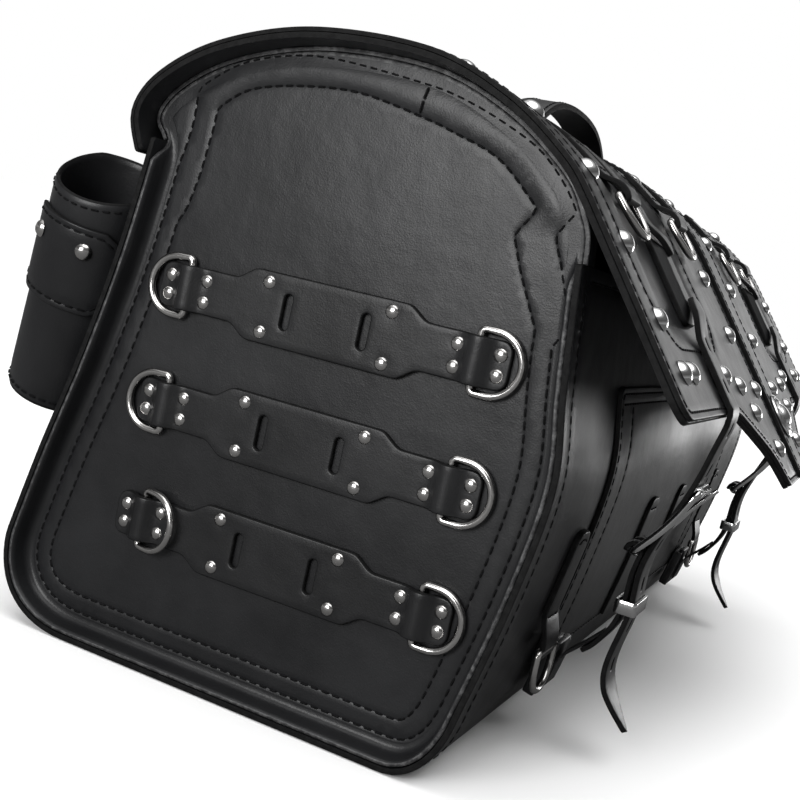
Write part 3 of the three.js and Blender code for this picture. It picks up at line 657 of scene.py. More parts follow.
def patch(name, loop, place, thickness, body, base=0.0, holes=(), seams=(), grid=6.0, edge=0.9,
          materials=None, sewn=True, dip=0.45):
    """A flat piece of leather laid on a surface: cut outline, rounded edges, sewn grooves.

    Each seam is an open path; it gets a groove, and stitches when sewn is true.
    """
    loop = loop if area(loop) > 0 else loop[::-1]
    holes = [hole if area(hole) < 0 else hole[::-1] for hole in holes]
    rims = [loop, *holes]
    tops = [inset(rim, edge) for rim in rims]
    top = base + thickness
    points, edges, sunk = [], [], []

    def lay(path, closed, depth=0.0):
        first = len(points)
        points.extend(path)
        sunk.extend([depth] * len(path))
        last = len(path) if closed else len(path) - 1
        edges.extend((first + k, first + (k + 1) % len(path)) for k in range(last))

    for rim in tops:
        lay(rim, True)
    limit = inset(loop, edge + 1.6)
    keep_off = [inset(hole, edge + 1.6) for hole in holes]
    for seam in seams:
        for run in clip_runs(seam, limit, keep_off):
            side = turned_left(run, False)
            for shift, depth in ((-1.2, 0.0), (0.0, -dip), (1.2, 0.0)):
                lay(run + side * shift, False, depth)
            if sewn:
                sew(body if isinstance(body, str) else body[0], place, run, top - dip + 0.35)
    tree = KDTree(len(points))
    for i, point in enumerate(points):
        tree.insert((*point, 0), i)
    tree.balance()
    low, high = loop.min(0), loop.max(0)
    spots = np.stack(np.meshgrid(np.arange(low[0] + grid / 2, high[0], grid),
                                 np.arange(low[1] + grid / 2, high[1], grid)), -1).reshape(-1, 2)
    if len(spots):
        good = within(spots, tops[0])
        for hole in tops[1:]:
            good &= ~within(spots, hole)
        spots = spots[good]
        far = [tree.find((*spot, 0))[2] > 0.5 * grid for spot in spots]
        spots = spots[np.array(far, bool)] if len(spots) else spots
        points.extend(spots)
        sunk.extend([0.0] * len(spots))
    made, _, triangles, sources, _, _ = delaunay_2d_cdt([Vector(p) for p in points], edges, [], 0, 1e-4)
    flat = np.array([tuple(v) for v in made])
    depth = np.array([min((sunk[i] for i in source), default=0.0) for source in sources])
    triangles = np.array(triangles)
    centres = flat[triangles].mean(1)
    inside = within(centres, tops[0])
    for hole in tops[1:]:
        inside &= ~within(centres, hole)
    triangles = triangles[inside]

    vertices, faces, slots = [], [], []

    def add_layer(ab, lift):
        first = sum(len(v) for v in vertices)
        vertices.append(place(ab[:, 0], ab[:, 1], np.broadcast_to(lift, len(ab)).astype(float)))
        return first

    first = add_layer(flat, top + depth)
    faces += (triangles + first).tolist()
    slots += [0] * len(triangles)
    first = add_layer(flat, np.full(len(flat), base))
    faces += (triangles[:, ::-1] + first).tolist()
    slots += [0] * len(triangles)
    for rim in rims:
        rows = [(edge, base), (0.0, base)]
        rows += [(edge * (1 - math.cos(math.radians(t))), top - edge + edge * math.sin(math.radians(t)))
                 for t in (0, 30, 60, 90)]
        starts = [add_layer(inset(rim, d) if d else rim, lift) for d, lift in rows]
        count = len(rim)
        for r in range(len(rows) - 1):
            for k in range(count):
                n = (k + 1) % count
                faces.append([starts[r] + k, starts[r] + n, starts[r + 1] + n, starts[r + 1] + k])
            slots += [0 if r in (0, len(rows) - 2) else 1] * count
    return show(name, np.vstack(vertices), faces, body if isinstance(body, str) else None,
                materials or BODY_SKIN, slots)


def loft(name, loops, body, materials, caps=True, slots=None, smooth=35.0, closed_path=False):
    """A skin through loops of points, each with the same count."""
    loops = [np.asarray(one, float) for one in loops]
    count = len(loops[0])
    faces, groups = [], []
    for r in range(len(loops) if closed_path else len(loops) - 1):
        after = (r + 1) % len(loops)
        for k in range(count):
            n = (k + 1) % count
            faces.append([r * count + k, r * count + n, after * count + n, after * count + k])
            groups.append(slots[r] if slots else 0)
    if caps and not closed_path:
        faces.append(list(range(count))[::-1])
        faces.append([(len(loops) - 1) * count + k for k in range(count)])
        groups += [0, 0]
    return show(name, np.vstack(loops), faces, body, materials, groups, smooth)


def tube_loops(path, radius, sides=16, closed=False, normal=None):
    """Circles round a 3-D path; normal is a direction kept across the section."""
    path = np.asarray(path, float)
    if closed:
        tangent = np.roll(path, -1, axis=0) - np.roll(path, 1, axis=0)
    else:
        tangent = np.gradient(path, axis=0)
    tangent /= np.linalg.norm(tangent, axis=1, keepdims=True)
    keep = np.array(normal if normal is not None else (1, 0, 0), float)
    across = np.cross(tangent, keep)
    across /= np.linalg.norm(across, axis=1, keepdims=True)
    other = np.cross(across, tangent)
    radii = np.broadcast_to(radius, len(path))
    loops = []
    for p, a, b, r in zip(path, across, other, radii):
        turn = 2 * np.pi * np.arange(sides) / sides
        loops.append(p + r * (np.outer(np.cos(turn), a) + np.outer(np.sin(turn), b)))
    return loops


def lathe(profile, sides=20):
    """Vertices and faces of a turned shape about local z, from (radius, height) pairs."""
    turn = 2 * np.pi * np.arange(sides) / sides
    vertices = [np.stack([r * np.cos(turn), r * np.sin(turn), np.full(sides, h)], -1)
                for r, h in profile if r > 0]
    faces = []
    rows = len(vertices)
    for r in range(rows - 1):
        for k in range(sides):
            n = (k + 1) % sides
            faces.append([r * sides + k, r * sides + n, (r + 1) * sides + n, (r + 1) * sides + k])
    faces.append(list(range(sides))[::-1])
    faces.append([(rows - 1) * sides + k for k in range(sides)])
    return np.vstack(vertices), faces


def seat(place, a, b, lift=0.0):
    """Origin, two in-surface directions and the outward direction at a spot on a surface."""
    a, b, lift = (np.array([v], float) for v in (a, b, lift))
    origin = place(a, b, lift)[0]
    first = unit(place(a + 0.5, b, lift)[0] - origin)
    out = unit(place(a, b, lift + 1)[0] - origin)
    first = unit(first - out * (first @ out))
    return origin, first, np.cross(out, first), out


def scatter(name, shape, spots, body, material, smooth=35.0):
    """One object with a copy of a turned shape at each (origin, x, y, z) seat."""
    vertices, faces = shape
    every, whole = [], []
    for origin, x, y, z in spots:
        base = len(every) * len(vertices)
        every.append(origin + vertices @ np.stack([x, y, z]))
        whole += [[base + i for i in face] for face in faces]
    return show(name, np.vstack(every), whole, body, [material], smooth=smooth)


STUD = lathe([(6.3, 0.0), (6.6, 0.5), (6.3, 1.0), (5.9, 1.5), (5.2, 2.4), (4.0, 3.3), (2.6, 3.9),
              (1.2, 4.2), (0.2, 4.25)])
RIVET = lathe([(3.6, 0.0), (3.8, 0.35), (3.6, 0.8), (3.0, 1.35), (2.1, 1.8), (1.0, 2.05), (0.15, 2.1)], 18)
SMALL_STUD = lathe([(5.0, 0.0), (5.2, 0.4), (4.9, 0.9), (4.2, 1.8), (3.2, 2.6), (2.0, 3.1), (0.9, 3.3),
                    (0.15, 3.35)], 18)


# ---------------------------------------------------------------- body of the bag
def make_wrap():
    """The one sheet that makes the bag's front, bottom and back."""
    length = WRAP.length
    loop = box_outline(-HALF_LENGTH, HALF_LENGTH, 0, length, 2.0, 5.0)
    sides = [np.linspace((x, 6), (x, length - 6), 150) for x in (-HALF_LENGTH + 12, HALF_LENGTH - 12)]
    hems = [np.linspace((-300, s), (300, s), 120) for s in (7, length - 7)]
    wrap = patch("bag_wrap", loop, on_wrap, LEATHER, "bag", base=-LEATHER, seams=sides + hems, grid=9.0,
                 edge=0.8)
    label(wrap, "leather", "body_wrap")


def end_outline():
    """The end panel's outline: down the front wall, up the back wall, then over the arch, as (Y, Z)."""
    arch = arch_path + turned_left(arch_path, False) * ARCH_INSET
    loop = np.vstack([wrap_path, arch[6:-3], [ARCH_FRONT], wrap_path[:1]])
    around = np.linalg.norm(np.diff(loop, axis=0), axis=1).sum()
    return resample(loop, round(around / 4))[:-1]


def soften(loop, passes):
    for _ in range(passes):
        loop = (np.roll(loop, 1, axis=0) + 2 * loop + np.roll(loop, -1, axis=0)) / 4
    return loop


END = end_outline()


def end_loop(distance):
    """The outline moved inwards, its jogs softened as the distance grows."""
    return soften(inset(END, distance), 1 + round(distance / 3))


def standing(points):
    """1 where the rim stands, below the line between the walls' tops, and 0 over the arch."""
    (y0, z0), (y1, z1) = RIM_TOP
    line = z0 + (points[..., 0] - y0) * (z1 - z0) / (y1 - y0)
    share = np.clip((line + 2 - points[..., 1]) / 14, 0, 1)
    return share * share * (3 - 2 * share)


# each stitched row of an end panel: front jog, arch and back side, as (Y, Z)
OUTER_ROW = {
    "distance": 13.6,
    "jog": [(-126.4, 236.4), (-122.5, 250.2), (-116.2, 265.8), (-110.1, 278.2), (-113.9, 285.2),
            (-118, 291.2)],
    "arch": [(-118, 291.2), (-109, 303.1), (-92.9, 317.2), (-69.4, 328.1), (-46.1, 335.9), (-24.8, 339.9),
             (24.2, 345), (54, 343.3), (83.4, 334.7), (105.8, 319.2)],
    "back": [(105.8, 319.2), (105.6, 299), (107.5, 286)],
}
INNER_ROW = {
    "distance": 23.5,
    "jog": [(-111, 232.9), (-96.7, 259.4), (-89.6, 275.7), (-94.2, 282.5), (-98.7, 289.2)],
    "arch": [(-98.7, 289.2), (-74, 309.3), (-46.5, 318.7), (-29.7, 323.1), (8.8, 330.2), (44.4, 328.8),
             (74.1, 322.6), (91.8, 310.3)],
    "back": [(91.8, 310.3), (92.2, 298.3), (94.8, 273.2), (99, 254)],
}
JOIN_SEAM = [(-27, 324.5), (-29, 338.5)]


def sewn_row(row_shape):
    """A closed stitched row: down the front wall, under, up the back wall, then over the arch."""
    walls = end_loop(row_shape["distance"])
    front_top = row_shape["jog"][0][1] - 8
    back_top = row_shape["back"][-1][1] - 8
    turn = np.unwrap(np.arctan2(walls[:, 1] - 150, walls[:, 0]))
    keep = np.where(walls[:, 0] < 0, walls[:, 1] < front_top, walls[:, 1] < back_top)
    turn = np.mod(turn + math.pi / 2 + math.pi, 2 * math.pi)
    walls = walls[keep][np.argsort(turn[keep])]
    arch = spline(row_shape["arch"], 90)[::-1]
    path = np.vstack([walls, row_shape["back"][::-1], arch[1:], row_shape["jog"][::-1], walls[:1]])
    around = np.linalg.norm(np.diff(path, axis=0), axis=1).sum()
    return resample(path, round(around / 2.4))


def make_end(name, side):
    """An end panel: its sewn face, the rim round it and the binding under the lid."""
    place_flat = on_end(side)
    arch_roll, inner_roll = sewn_row(OUTER_ROW), sewn_row(INNER_ROW)
    crest = (spline(OUTER_ROW["arch"], 60) + spline(INNER_ROW["arch"], 60)) / 2

    def place(y, z, lift=0.0):
        """The panel's face; over the arch a soft roll swells between the two stitched rows."""
        at = np.stack(np.broadcast_arrays(y, z), -1)
        away = np.linalg.norm(at[..., None, :] - crest, axis=-1).min(-1)
        return place_flat(y, z, lift + 1.3 * np.exp(-(away / 5.5)**2))

    rows = [arch_roll, inner_roll]
    floor = patch(f"end_panel_face_{name}", end_loop(11.2), place, STRAP - 0.2, "bag", base=-STRAP + 0.2,
                  seams=rows, grid=3.6, edge=0.2, sewn=False)
    for row_path in rows:
        sew("bag", place, row_path, -0.05)
    sew("bag", place, np.array(JOIN_SEAM), 0.9, pitch=14, length=13)
    label(floor, "leather", f"end_panel_{name}")
    # the standing rim and the cove that joins it to the panel: (distance in, lift), flush over the arch
    section = [(9.0, -STRAP), (3.5, -STRAP), (3.5, 11.6), (3.8, 12.5), (4.6, 13.0), (5.6, 12.9),
               (6.4, 12.2),
               (6.8, 10.0), (7.0, 5.0), (7.5, 2.4), (8.6, 0.8), (10.0, 0.15), (11.6, 0.0), (11.6, -0.6)]
    flush = {2: -0.6, 3: -0.2}
    loops = []
    for k, (d, lift) in enumerate(section):
        at = end_loop(d)
        low = min(lift, flush.get(k, 0.0))
        loops.append(place(*at.T, low + (lift - low) * standing(at)))
    groups = [1 if k in (2, 3, 4) else 0 for k in range(len(section))]
    rim = loft(f"end_panel_rim_{name}", loops + [loops[0]], "bag", WORN_SKIN, caps=False, slots=groups,
               smooth=50)
    label(rim, "leather")
    around = end_loop(3.5)
    arch = around[standing(around) < 0.05]
    arch = arch[np.argsort(-np.unwrap(np.arctan2(arch[:, 1] - 200, -arch[:, 0])))][::-1]
    if arch[0, 0] < arch[-1, 0]:
        arch = arch[::-1]
    edge = Profile(arch + turned_left(arch, False) * -2.6)
    face = HALF_LENGTH - RECESS
    ends = sorted([side * (face - RECESS), side * (face + 0.4)])
    strip = patch(f"arch_binding_strip_{name}", box_outline(*ends, 0, edge.length, 1.0, 4.0), along(edge),
                  OVERLAY,
                  "bag", base=-OVERLAY, grid=5, edge=0.7, materials=WORN_SKIN)
    label(strip, "edge_leather", f"arch_binding_{name}")


def make_front():
    """The overlay on the front wall, with its sewn border and two rows down each side."""
    top, bottom = front_station(210), front_station(44)
    loop = box_outline(-214, 214, top, bottom, 6.0, 4.0)
    rows = [box_outline(-210.4, 210.4, top + 3.6, bottom - 3.6, 4.0, 3.0),
            np.linspace((-206, top + 9.5), (206, top + 9.5), 120)]
    rows += [np.linspace((x, top + 10), (x, bottom - 8), 50) for x in (-183.0, 183.0)]
    panel = patch("front_overlay", loop, on_wrap, OVERLAY, "bag", base=GAP, seams=rows, grid=7.0)
    label(panel, "leather", "front_panel")


def d_ring():
    """Closed loop of a D-ring's wire: bar along local y, bow towards local x."""
    half = RING_INNER / 2 + WIRE / 2
    bow = [(RING_ARM + half * math.cos(t), half * math.sin(t)) for t in np.linspace(-np.pi / 2, np.pi / 2,
                                                                                    25)]
    corner = 2.6
    turn = [(corner * (1 - math.sin(t)), half - corner * (1 - math.cos(t)))
            for t in np.linspace(0, np.pi / 2, 6)]
    back = [(x, -y) for x, y in turn[::-1]]
    bar = [(0, y) for y in np.linspace(half - corner, -half + corner, 8)[1:-1]]
    path = np.array(bow + turn + bar + back)
    return np.column_stack([path, np.zeros(len(path))])


def ring(name, origin, x, y, body, node):
    path = d_ring()
    x, y = unit(np.array(x, float)), unit(np.array(y, float))
    z = np.cross(x, y)
    placed = np.array(origin) + path @ np.stack([x, y, z])
    made = loft(name, tube_loops(placed, WIRE / 2, 14, True, z), body, [NICKEL], closed_path=True,
                smooth=80)
    label(made, "nickel", node)
    return made


# ---------------------------------------------------------------- mounting plates
def plate_outline():
    """A mounting plate: wide in the middle, narrow where the rings are."""
    corners = [(104, -12.5, 6), (104, 12.5, 6), (56, 12.5, 9), (46, 19.5, 9), (-46, 19.5, 9), (-56, 12.5, 9),
               (-104, 12.5, 6), (-104, -12.5, 6), (-56, -12.5, 9), (-46, -19.5, 9), (46, -19.5, 9), (56, -12.5, 9)]
    return outline(corners, 2.5)


RIVET_SPOTS = [(su * u, sv * v) for u, v in ((36.6, 13.5), (75.0, 5.9), (98.0, 5.2))
               for su in (-1, 1) for sv in (-1, 1)]


def make_plate(row_name, side=-1):
    """A mounting plate with its slots, rivets and two rings."""
    z = PLATE_Z[row_name]
    panel = on_end(side)

    def hump(u):
        return 5.3 * np.exp(-(np.abs(np.abs(u) - MOUNT_RING_U) / 6.3)**3.2)

    def press(u, v):
        """The plate dimples where a rivet pulls it down."""
        total = 0
        for a, b in RIVET_SPOTS:
            total = total + 0.55 * np.exp(-((u - a)**2 + (v - b)**2) / 16)
        return total

    def place(u, v, lift=0.0):
        return panel(-u, z + v, lift + hump(u) - press(u, v))

    holes = [oval(s * 23.2, 0, 5.0, 19.0) for s in (-1, 1)]
    plate = patch(f"plate_{row_name}", plate_outline(), place, STRAP, "bag", base=GAP, holes=holes,
                  grid=3.0,
                  edge=1.1, materials=STRAP_SKIN)
    label(plate, "strap_leather", f"mount_plate_{row_name}")
    for where, s in (("front", 1), ("back", -1)):
        flipped = row_name == "bottom" and where == "back"
        across = np.array([0, -s, 0], float)
        if flipped:
            turn = math.radians(165)
            across = np.array([-math.sin(turn), -s * math.cos(turn), 0])
        origin = panel(np.array(-s * MOUNT_RING_U), np.array(z), np.array(GAP + RING_BAR_LIFT))
        name = f"{row_name}_{where}"
        ring(f"d_ring_{name}", origin, across, (0, 0, s), f"mount_ring_{name}", f"mount_ring_{name}")
    spots = [seat(place, u, v, GAP + STRAP - 0.1) for u, v in RIVET_SPOTS]
    rivets = scatter(f"rivets_{row_name}", RIVET, spots, "bag", NICKEL, 50)
    label(rivets, "nickel")


# ---------------------------------------------------------------- ring straps on the front
def make_front_ring(name, side):
    """A strap on the front wall whose lower end holds a ring."""
    x = side * 233.0
    low = front_station(65)
    bar_lift = 2 * OVERLAY + RING_BAR_LIFT + 1.2
    top = front_station(132)

    def place(a, s, lift=0.0):
        hump = bar_lift - STRAP - GAP + WIRE / 2 - 0.2
        return on_wrap(a, s, lift + hump * step(s, low - 22, low - 2))

    loop = outline([(x - 12.5, top, 9), (x + 12.5, top, 9), (x + 12.5, low + 4.5, 1),
                    (x - 12.5, low + 4.5, 1)], 3.0)
    rows = [np.array([[x - 8, top + 7], [x - 3, top + 5], [x + 3, top + 5], [x + 8, top + 7]]),
            np.array([[x - 9, low - 18], [x - 4, low - 18], [x + 4, low - 18], [x + 9, low - 18]])]
    strip = patch(f"ring_strap_{name}", loop, place, STRAP, "bag", base=GAP, seams=rows, grid=4.0,
                  materials=STRAP_SKIN)
    label(strip, "strap_leather", f"front_ring_strap_{name}")
    origin = seat(on_wrap, x, low, bar_lift)[0]
    node = f"front_ring_{name}"
    ring(f"d_ring_front_{name}", origin, (0, 0, -1), (1, 0, 0), node, node)


def make_front_tab(name, x):
    """One of the two round-topped tabs sewn to the front panel."""
    top, bottom = front_station(134), front_station(48)
    base = OVERLAY + 1.5 * GAP
    half = 13.0
    loop = outline([(x - half, top, 10), (x + half, top, 10), (x + half, bottom, 1),
                    (x - half, bottom, 1)], 3.0)
    rows = [np.array([[x - 8.5, s], [x - 3, s], [x + 3, s], [x + 8.5, s]]) for s in (top + 8, top + 30)]
    tab = patch(f"front_tab_{name}", loop, on_wrap, OVERLAY, "bag", base=base, seams=rows, grid=4.0,
                edge=1.0,
                materials=STRAP_SKIN)
    label(tab, "strap_leather")


# ---------------------------------------------------------------- lid
def lid_edge_outline(margin=0.0, back=0.0):
    """The lid's cut outline as (x, station); margin moves it inwards."""
    half, edge, tip = LID_HALF - margin, LID_EDGE - margin, TONGUE_EDGE - margin
    root = TONGUE_ROOT - margin * 0.4
    return [(-half, LID_BACK + back, 2), (-half, edge, max(12 - margin, 4)), (-root, edge, 46),
            (-TONGUE_HALF - 14 + margin * 0.5, tip - 22, 60), (-TONGUE_HALF + margin * 0.6, tip, 7),
            (TONGUE_HALF - margin * 0.6, tip, 7), (TONGUE_HALF + 14 - margin * 0.5, tip - 22, 60),
            (root, edge, 46), (half, edge, max(12 - margin, 4)), (half, LID_BACK + back, 2)]


def make_lid():
    """The lid: its shell, the sewn overlay and the strip down the middle."""
    shell = patch("lid_shell_leather", outline(lid_edge_outline(), 5.0), on_lid, LEATHER, "lid",
                  base=-LEATHER,
                  grid=10.0, edge=0.8)
    label(shell, "leather", "lid_shell")

    hem = outline(lid_edge_outline(4.2, 2), 3.5, closed=False)
    inner_rows = []
    for side in (-1, 1):
        bay = [(side * 293, LID_BACK + 10), (side * 293, 76, 38), (side * 129, 76, 34),
               (side * 129, LID_BACK + 10)]
        inner_rows.append(outline(bay, 3.5, closed=False))
    for side in (-1, 1):
        line = [(side * 34, LID_BACK + 10), (side * 34, 104, 14), (side * 26, 160)]
        inner_rows.append(outline(line, 3.5, closed=False))
    cover = patch("lid_overlay_leather", outline(lid_edge_outline(0.4), 4.0), on_lid, OVERLAY, "lid",
                  base=GAP,
                  seams=[hem, *inner_rows], grid=8.0, edge=0.8)
    label(cover, "leather", "lid_overlay")

    strip = patch("lid_center_strip_leather", box_outline(-22, 22, LID_BACK + 14, TONGUE_EDGE - 1, 2.0,
                                                          4.0), on_lid,
                  OVERLAY, "lid", base=2 * GAP + OVERLAY, grid=6.0, edge=0.9,
                  seams=[np.linspace((x, LID_BACK + 18), (x, TONGUE_EDGE - 5), 120)
                         for x in (-17.5, 17.5)])
    label(strip, "leather", "lid_center_strip")


STUD_ROWS = [(288, s) for s in (-147, -105, -62, -20, 20, 61)]
STUD_ROWS += [(286, 89), (263, 89)]
STUD_ROWS += [(60, s) for s in (-147, -105, -62, -20, 20, 61)]
STUD_ROWS += [(51, 100), (159, 90), (118, 97), (100, 115), (63, 141)]
TOP_LIFT = GAP + OVERLAY


def make_studs():
    spots = []
    for x, s in STUD_ROWS:
        for side in (-1, 1):
            spots.append(seat(on_lid, side * x, s, TOP_LIFT - 0.1))
    studs = scatter("lid_studs", STUD, spots, "lid", CHROME, 50)
    label(studs, "chrome")


def make_concho():
    """A plain ribbed dome at the middle of the lid's edge."""
    ridge = [(16.0, 0.0), (16.4, 0.7), (15.8, 1.6), (14.4, 2.2), (13.2, 2.0), (12.4, 2.5), (11.4, 3.4),
             (10.0, 3.3),
             (8.8, 3.0), (7.8, 4.0), (6.0, 5.4), (3.6, 6.3), (1.6, 6.6), (0.2, 6.7)]
    spots = [seat(on_lid, 0, 122, 2 * (GAP + OVERLAY) + GAP)]
    vertices, faces = lathe(ridge, 36)
    radius = np.hypot(vertices[:, 0], vertices[:, 1])
    turn = np.arctan2(vertices[:, 1], vertices[:, 0])
    vertices[:, 2] += np.where((radius > 11) & (radius < 14.5), 0.35 * np.cos(18 * turn), 0)
    made = scatter("concho_dome", (vertices, faces), spots, "lid", CHROME, 40)
    label(made, "chrome", "concho")


def make_lid_ring(number, x):
    """A leather tab on the lid and the ring in its loop."""
    bar = LID_RING_STATION
    base = GAP + TOP_LIFT
    half = 12.5

    def place(a, s, lift=0.0):
        drop = np.clip((s - (bar + 1)) / 4, 0, 1)
        return on_lid(a, s, lift + 5.8 * step(s, bar - 16, bar - 2) - 1.2 * drop)

    loop = outline([(x - half, bar - 44, 8), (x + half, bar - 44, 8), (x + half, bar + 5, 1.5),
                    (x - half, bar + 5, 1.5)], 2.5)
    rows = [np.linspace((x - 8, bar + d), (x + 8, bar + d), 5) for d in (-39, -20)]
    tab = patch(f"ring_tab_{number}", loop, place, STRAP, "lid", base=base, seams=rows, grid=3.0, edge=1.1,
                materials=STRAP_SKIN)
    label(tab, "strap_leather", f"lid_ring_tab_{number}")
    bar_lift = base + RING_BAR_LIFT - BAY_DEPTH * float(lid_bay(x, bar))
    origin = np.array([x, *LID.at(bar, bar_lift)])
    hang = np.array([x, *LID.at(bar + 26, bar_lift + 1.2)]) - origin
    node = f"lid_ring_{number}"
    ring(f"d_ring_lid_{number}", origin, hang, (1, 0, 0), node, node)


# ---------------------------------------------------------------- straps and buckles
LID_STRAP_BASE = 2 * GAP + OVERLAY
STRAP_FALL = [[-193, 190], [-187, 166], [-171.5, 121], [-170, 89], [-165, 49], [-182, 20]]
CLIP_WEBBING = [[-156.3, 71.5], [-147.3, 61.5], [-140.4, 54.8], [-136.6, 49.5], [-134.6, 41], [-132.6, 33]]
CHAPE_FALL = [[-166.2, 108], [-165.2, 88], [-158, 70], [-149, 60]]
KEEPER_AT = (-167.7, 92.0)
BAR = 4.0
EYE_INNER = 3.2
EYE_OUTER = 5.8
FRAME_INNER = 30.0
PRONG = 1.4
LOWER_END = 46.0
buckle_top = np.array(STRAP_FALL[1], float)
buckle_bottom = np.array(STRAP_FALL[2], float)
buckle_side = unit(buckle_bottom - buckle_top)
buckle_side = np.array([buckle_side[1], -buckle_side[0]])
upper_bar = buckle_top + buckle_side * (STRAP / 2 + 0.5 + BAR / 2)
lower_bar = buckle_bottom - buckle_side * (STRAP / 2 + 0.5 + EYE_OUTER)


def make_upper_strap(name, x):
    """The strap over the lid, and the bridge that its tip and the lower strap meet on."""
    half = STRAP_WIDTH / 2
    tip = 20.0
    loop = outline([(x - half, LID_BACK + 12, 2), (x + half, LID_BACK + 12, 2), (x + half, tip - 12, 5),
                    (x + 2, tip, 4), (x - 2, tip, 4), (x - half, tip - 12, 5)], 3.0)

    def place(a, s, lift=0.0):
        return on_lid(a, s, lift + 6.3 * step(s, -8, 14))

    strap = patch(f"strap_upper_{name}", loop, place, STRAP, "lid", base=LID_STRAP_BASE, grid=5.0, edge=1.1,
                  materials=STRAP_SKIN)
    label(strap, "strap_leather", f"lid_strap_{name}")

    half = STRAP_WIDTH / 2 + 2.2
    crown = 3.4

    def loop_place(a, s, lift=0.0):
        swell = step(half - np.abs(a - x), 0, 7) * step(np.minimum(s - 7, 60 - s), 0, 9)
        return on_lid(a, s, lift + crown * swell)

    made = patch(f"strap_bridge_{name}", box_outline(x - half, x + half, 7, 60, 5.0, 2.5), loop_place,
                 OVERLAY + 0.4,
                 "lid", base=LID_STRAP_BASE, grid=2.6, edge=1.1, materials=STRAP_SKIN)
    label(made, "strap_leather", f"strap_loop_{name}")


def closure_profile():
    """Centre line of the strap from its end on the lid, over the edge and down through the buckle."""
    stations = np.linspace(LOWER_END, LID_EDGE - 4, 20)
    lift = LID_STRAP_BASE + STRAP / 2
    on = [LID.at(s, lift + 4.0 * (1 - min(1, max(0, (s - 56) / 14)))) for s in stations]
    start = LID.at(LID_EDGE + 1, lift + 0.1)
    hang = spline([start, *STRAP_FALL], 120)
    lead = spline([on[-1], LID.at(LID_EDGE - 1, lift + 0.1), hang[4], hang[8]], 12)
    path = np.vstack([on[:-1], lead[:-1], hang[8:]])
    return Profile(path)


CLOSURE = closure_profile()


def make_closure(name, x):
    """The lower strap: on the lid, over its edge and down through the buckle to its tail."""
    half = STRAP_WIDTH / 2
    length = CLOSURE.length
    place = along(CLOSURE, x)
    tail = length
    loop = outline([(-half, 0, 9), (half, 0, 9), (half, tail - 26, 12), (2, tail, 4), (-2, tail, 4),
                    (-half, tail - 26, 12)], 3.0)
    heights = CLOSURE.points[:, 1]
    buckle_at = float(np.interp(-buckle_top[1], -heights, CLOSURE.s))
    spots = [buckle_at + 14 + 25 * k for k in (-5, -4, -3, -2, -1, 1, 2, 3, 4)]
    holes = [oval(0, s, 3.4, 7.5) for s in spots if 24 < s < tail - 34]
    strap = patch(f"strap_lower_{name}", loop, place, STRAP, ("lid",), base=-STRAP / 2, holes=holes,
                  grid=4.0,
                  edge=1.1, materials=STRAP_SKIN)
    label(strap, "strap_leather", f"closure_strap_{name}")
    start = LID.at(LID_EDGE - 16, 4)
    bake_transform(strap)
    make_buckle(name, x)


def make_buckle(name, x):
    """Frame, roller and prong, leaning as the strap does."""
    body = f"closure_{name}"
    up = unit(upper_bar - lower_bar)
    out = np.array([-up[1], up[0]])
    if out[0] > 0:
        out = -out
    height = np.linalg.norm(upper_bar - lower_bar)
    half = FRAME_INNER / 2 + BAR / 2

    def local(a, b, c):
        """a across, b up the frame from its lower bar, c outwards."""
        yz = lower_bar + up * b + out * c
        return np.array([x + a, *yz])

    corners = [(-half, 0, 4.5), (half, 0, 4.5), (half, height, 4.5), (-half, height, 4.5)]
    path = outline(corners, 3.0)
    bow = 2.2 * np.sin(np.pi * np.clip(path[:, 1] / height, 0, 1))
    placed = np.array([local(a, b, c) for (a, b), c in zip(path, bow)])
    normal = np.array([0, *out])
    made = loft(f"buckle_{name}", tube_loops(placed, BAR / 2, 12, True, normal), body, [CHROME],
                closed_path=True, smooth=80)
    label(made, "chrome", f"buckle_frame_{name}")
    roller = [local(a, height, 0) for a in np.linspace(-11.5, 11.5, 8)]
    made = loft(f"buckle_roller_{name}", tube_loops(roller, 2.9, 14, False, normal), body, [CHROME],
                smooth=40)
    label(made, "chrome")

    reach = height + BAR / 2 + 4
    rise = BAR / 2 + 0.6 + PRONG + 1.2
    steps = np.linspace(0, 1, 14)
    arm = [local(0, 1.5 + (reach - 1.5) * t, 1.5 + (rise - 1.5) * t - 1.0 * math.sin(math.pi * t))
           for t in steps]
    wide = [2.0 - 0.7 * t for t in steps]
    made = loft(f"prong_{name}", tube_loops(arm, wide, 10, False, normal), f"buckle_prong_{name}",
                [CHROME], smooth=60)
    label(made, "chrome", f"buckle_prong_{name}")
    turns = np.linspace(0, 2 * np.pi, 24, endpoint=False)
    eye = [local(0, 3.5 * math.sin(t), 3.5 * math.cos(t)) for t in turns]
    made = loft(f"prong_eye_{name}", tube_loops(eye, 1.2, 8, True, (1, 0, 0)), f"buckle_prong_{name}",
                [CHROME],
                closed_path=True, smooth=80)
    label(made, "chrome")


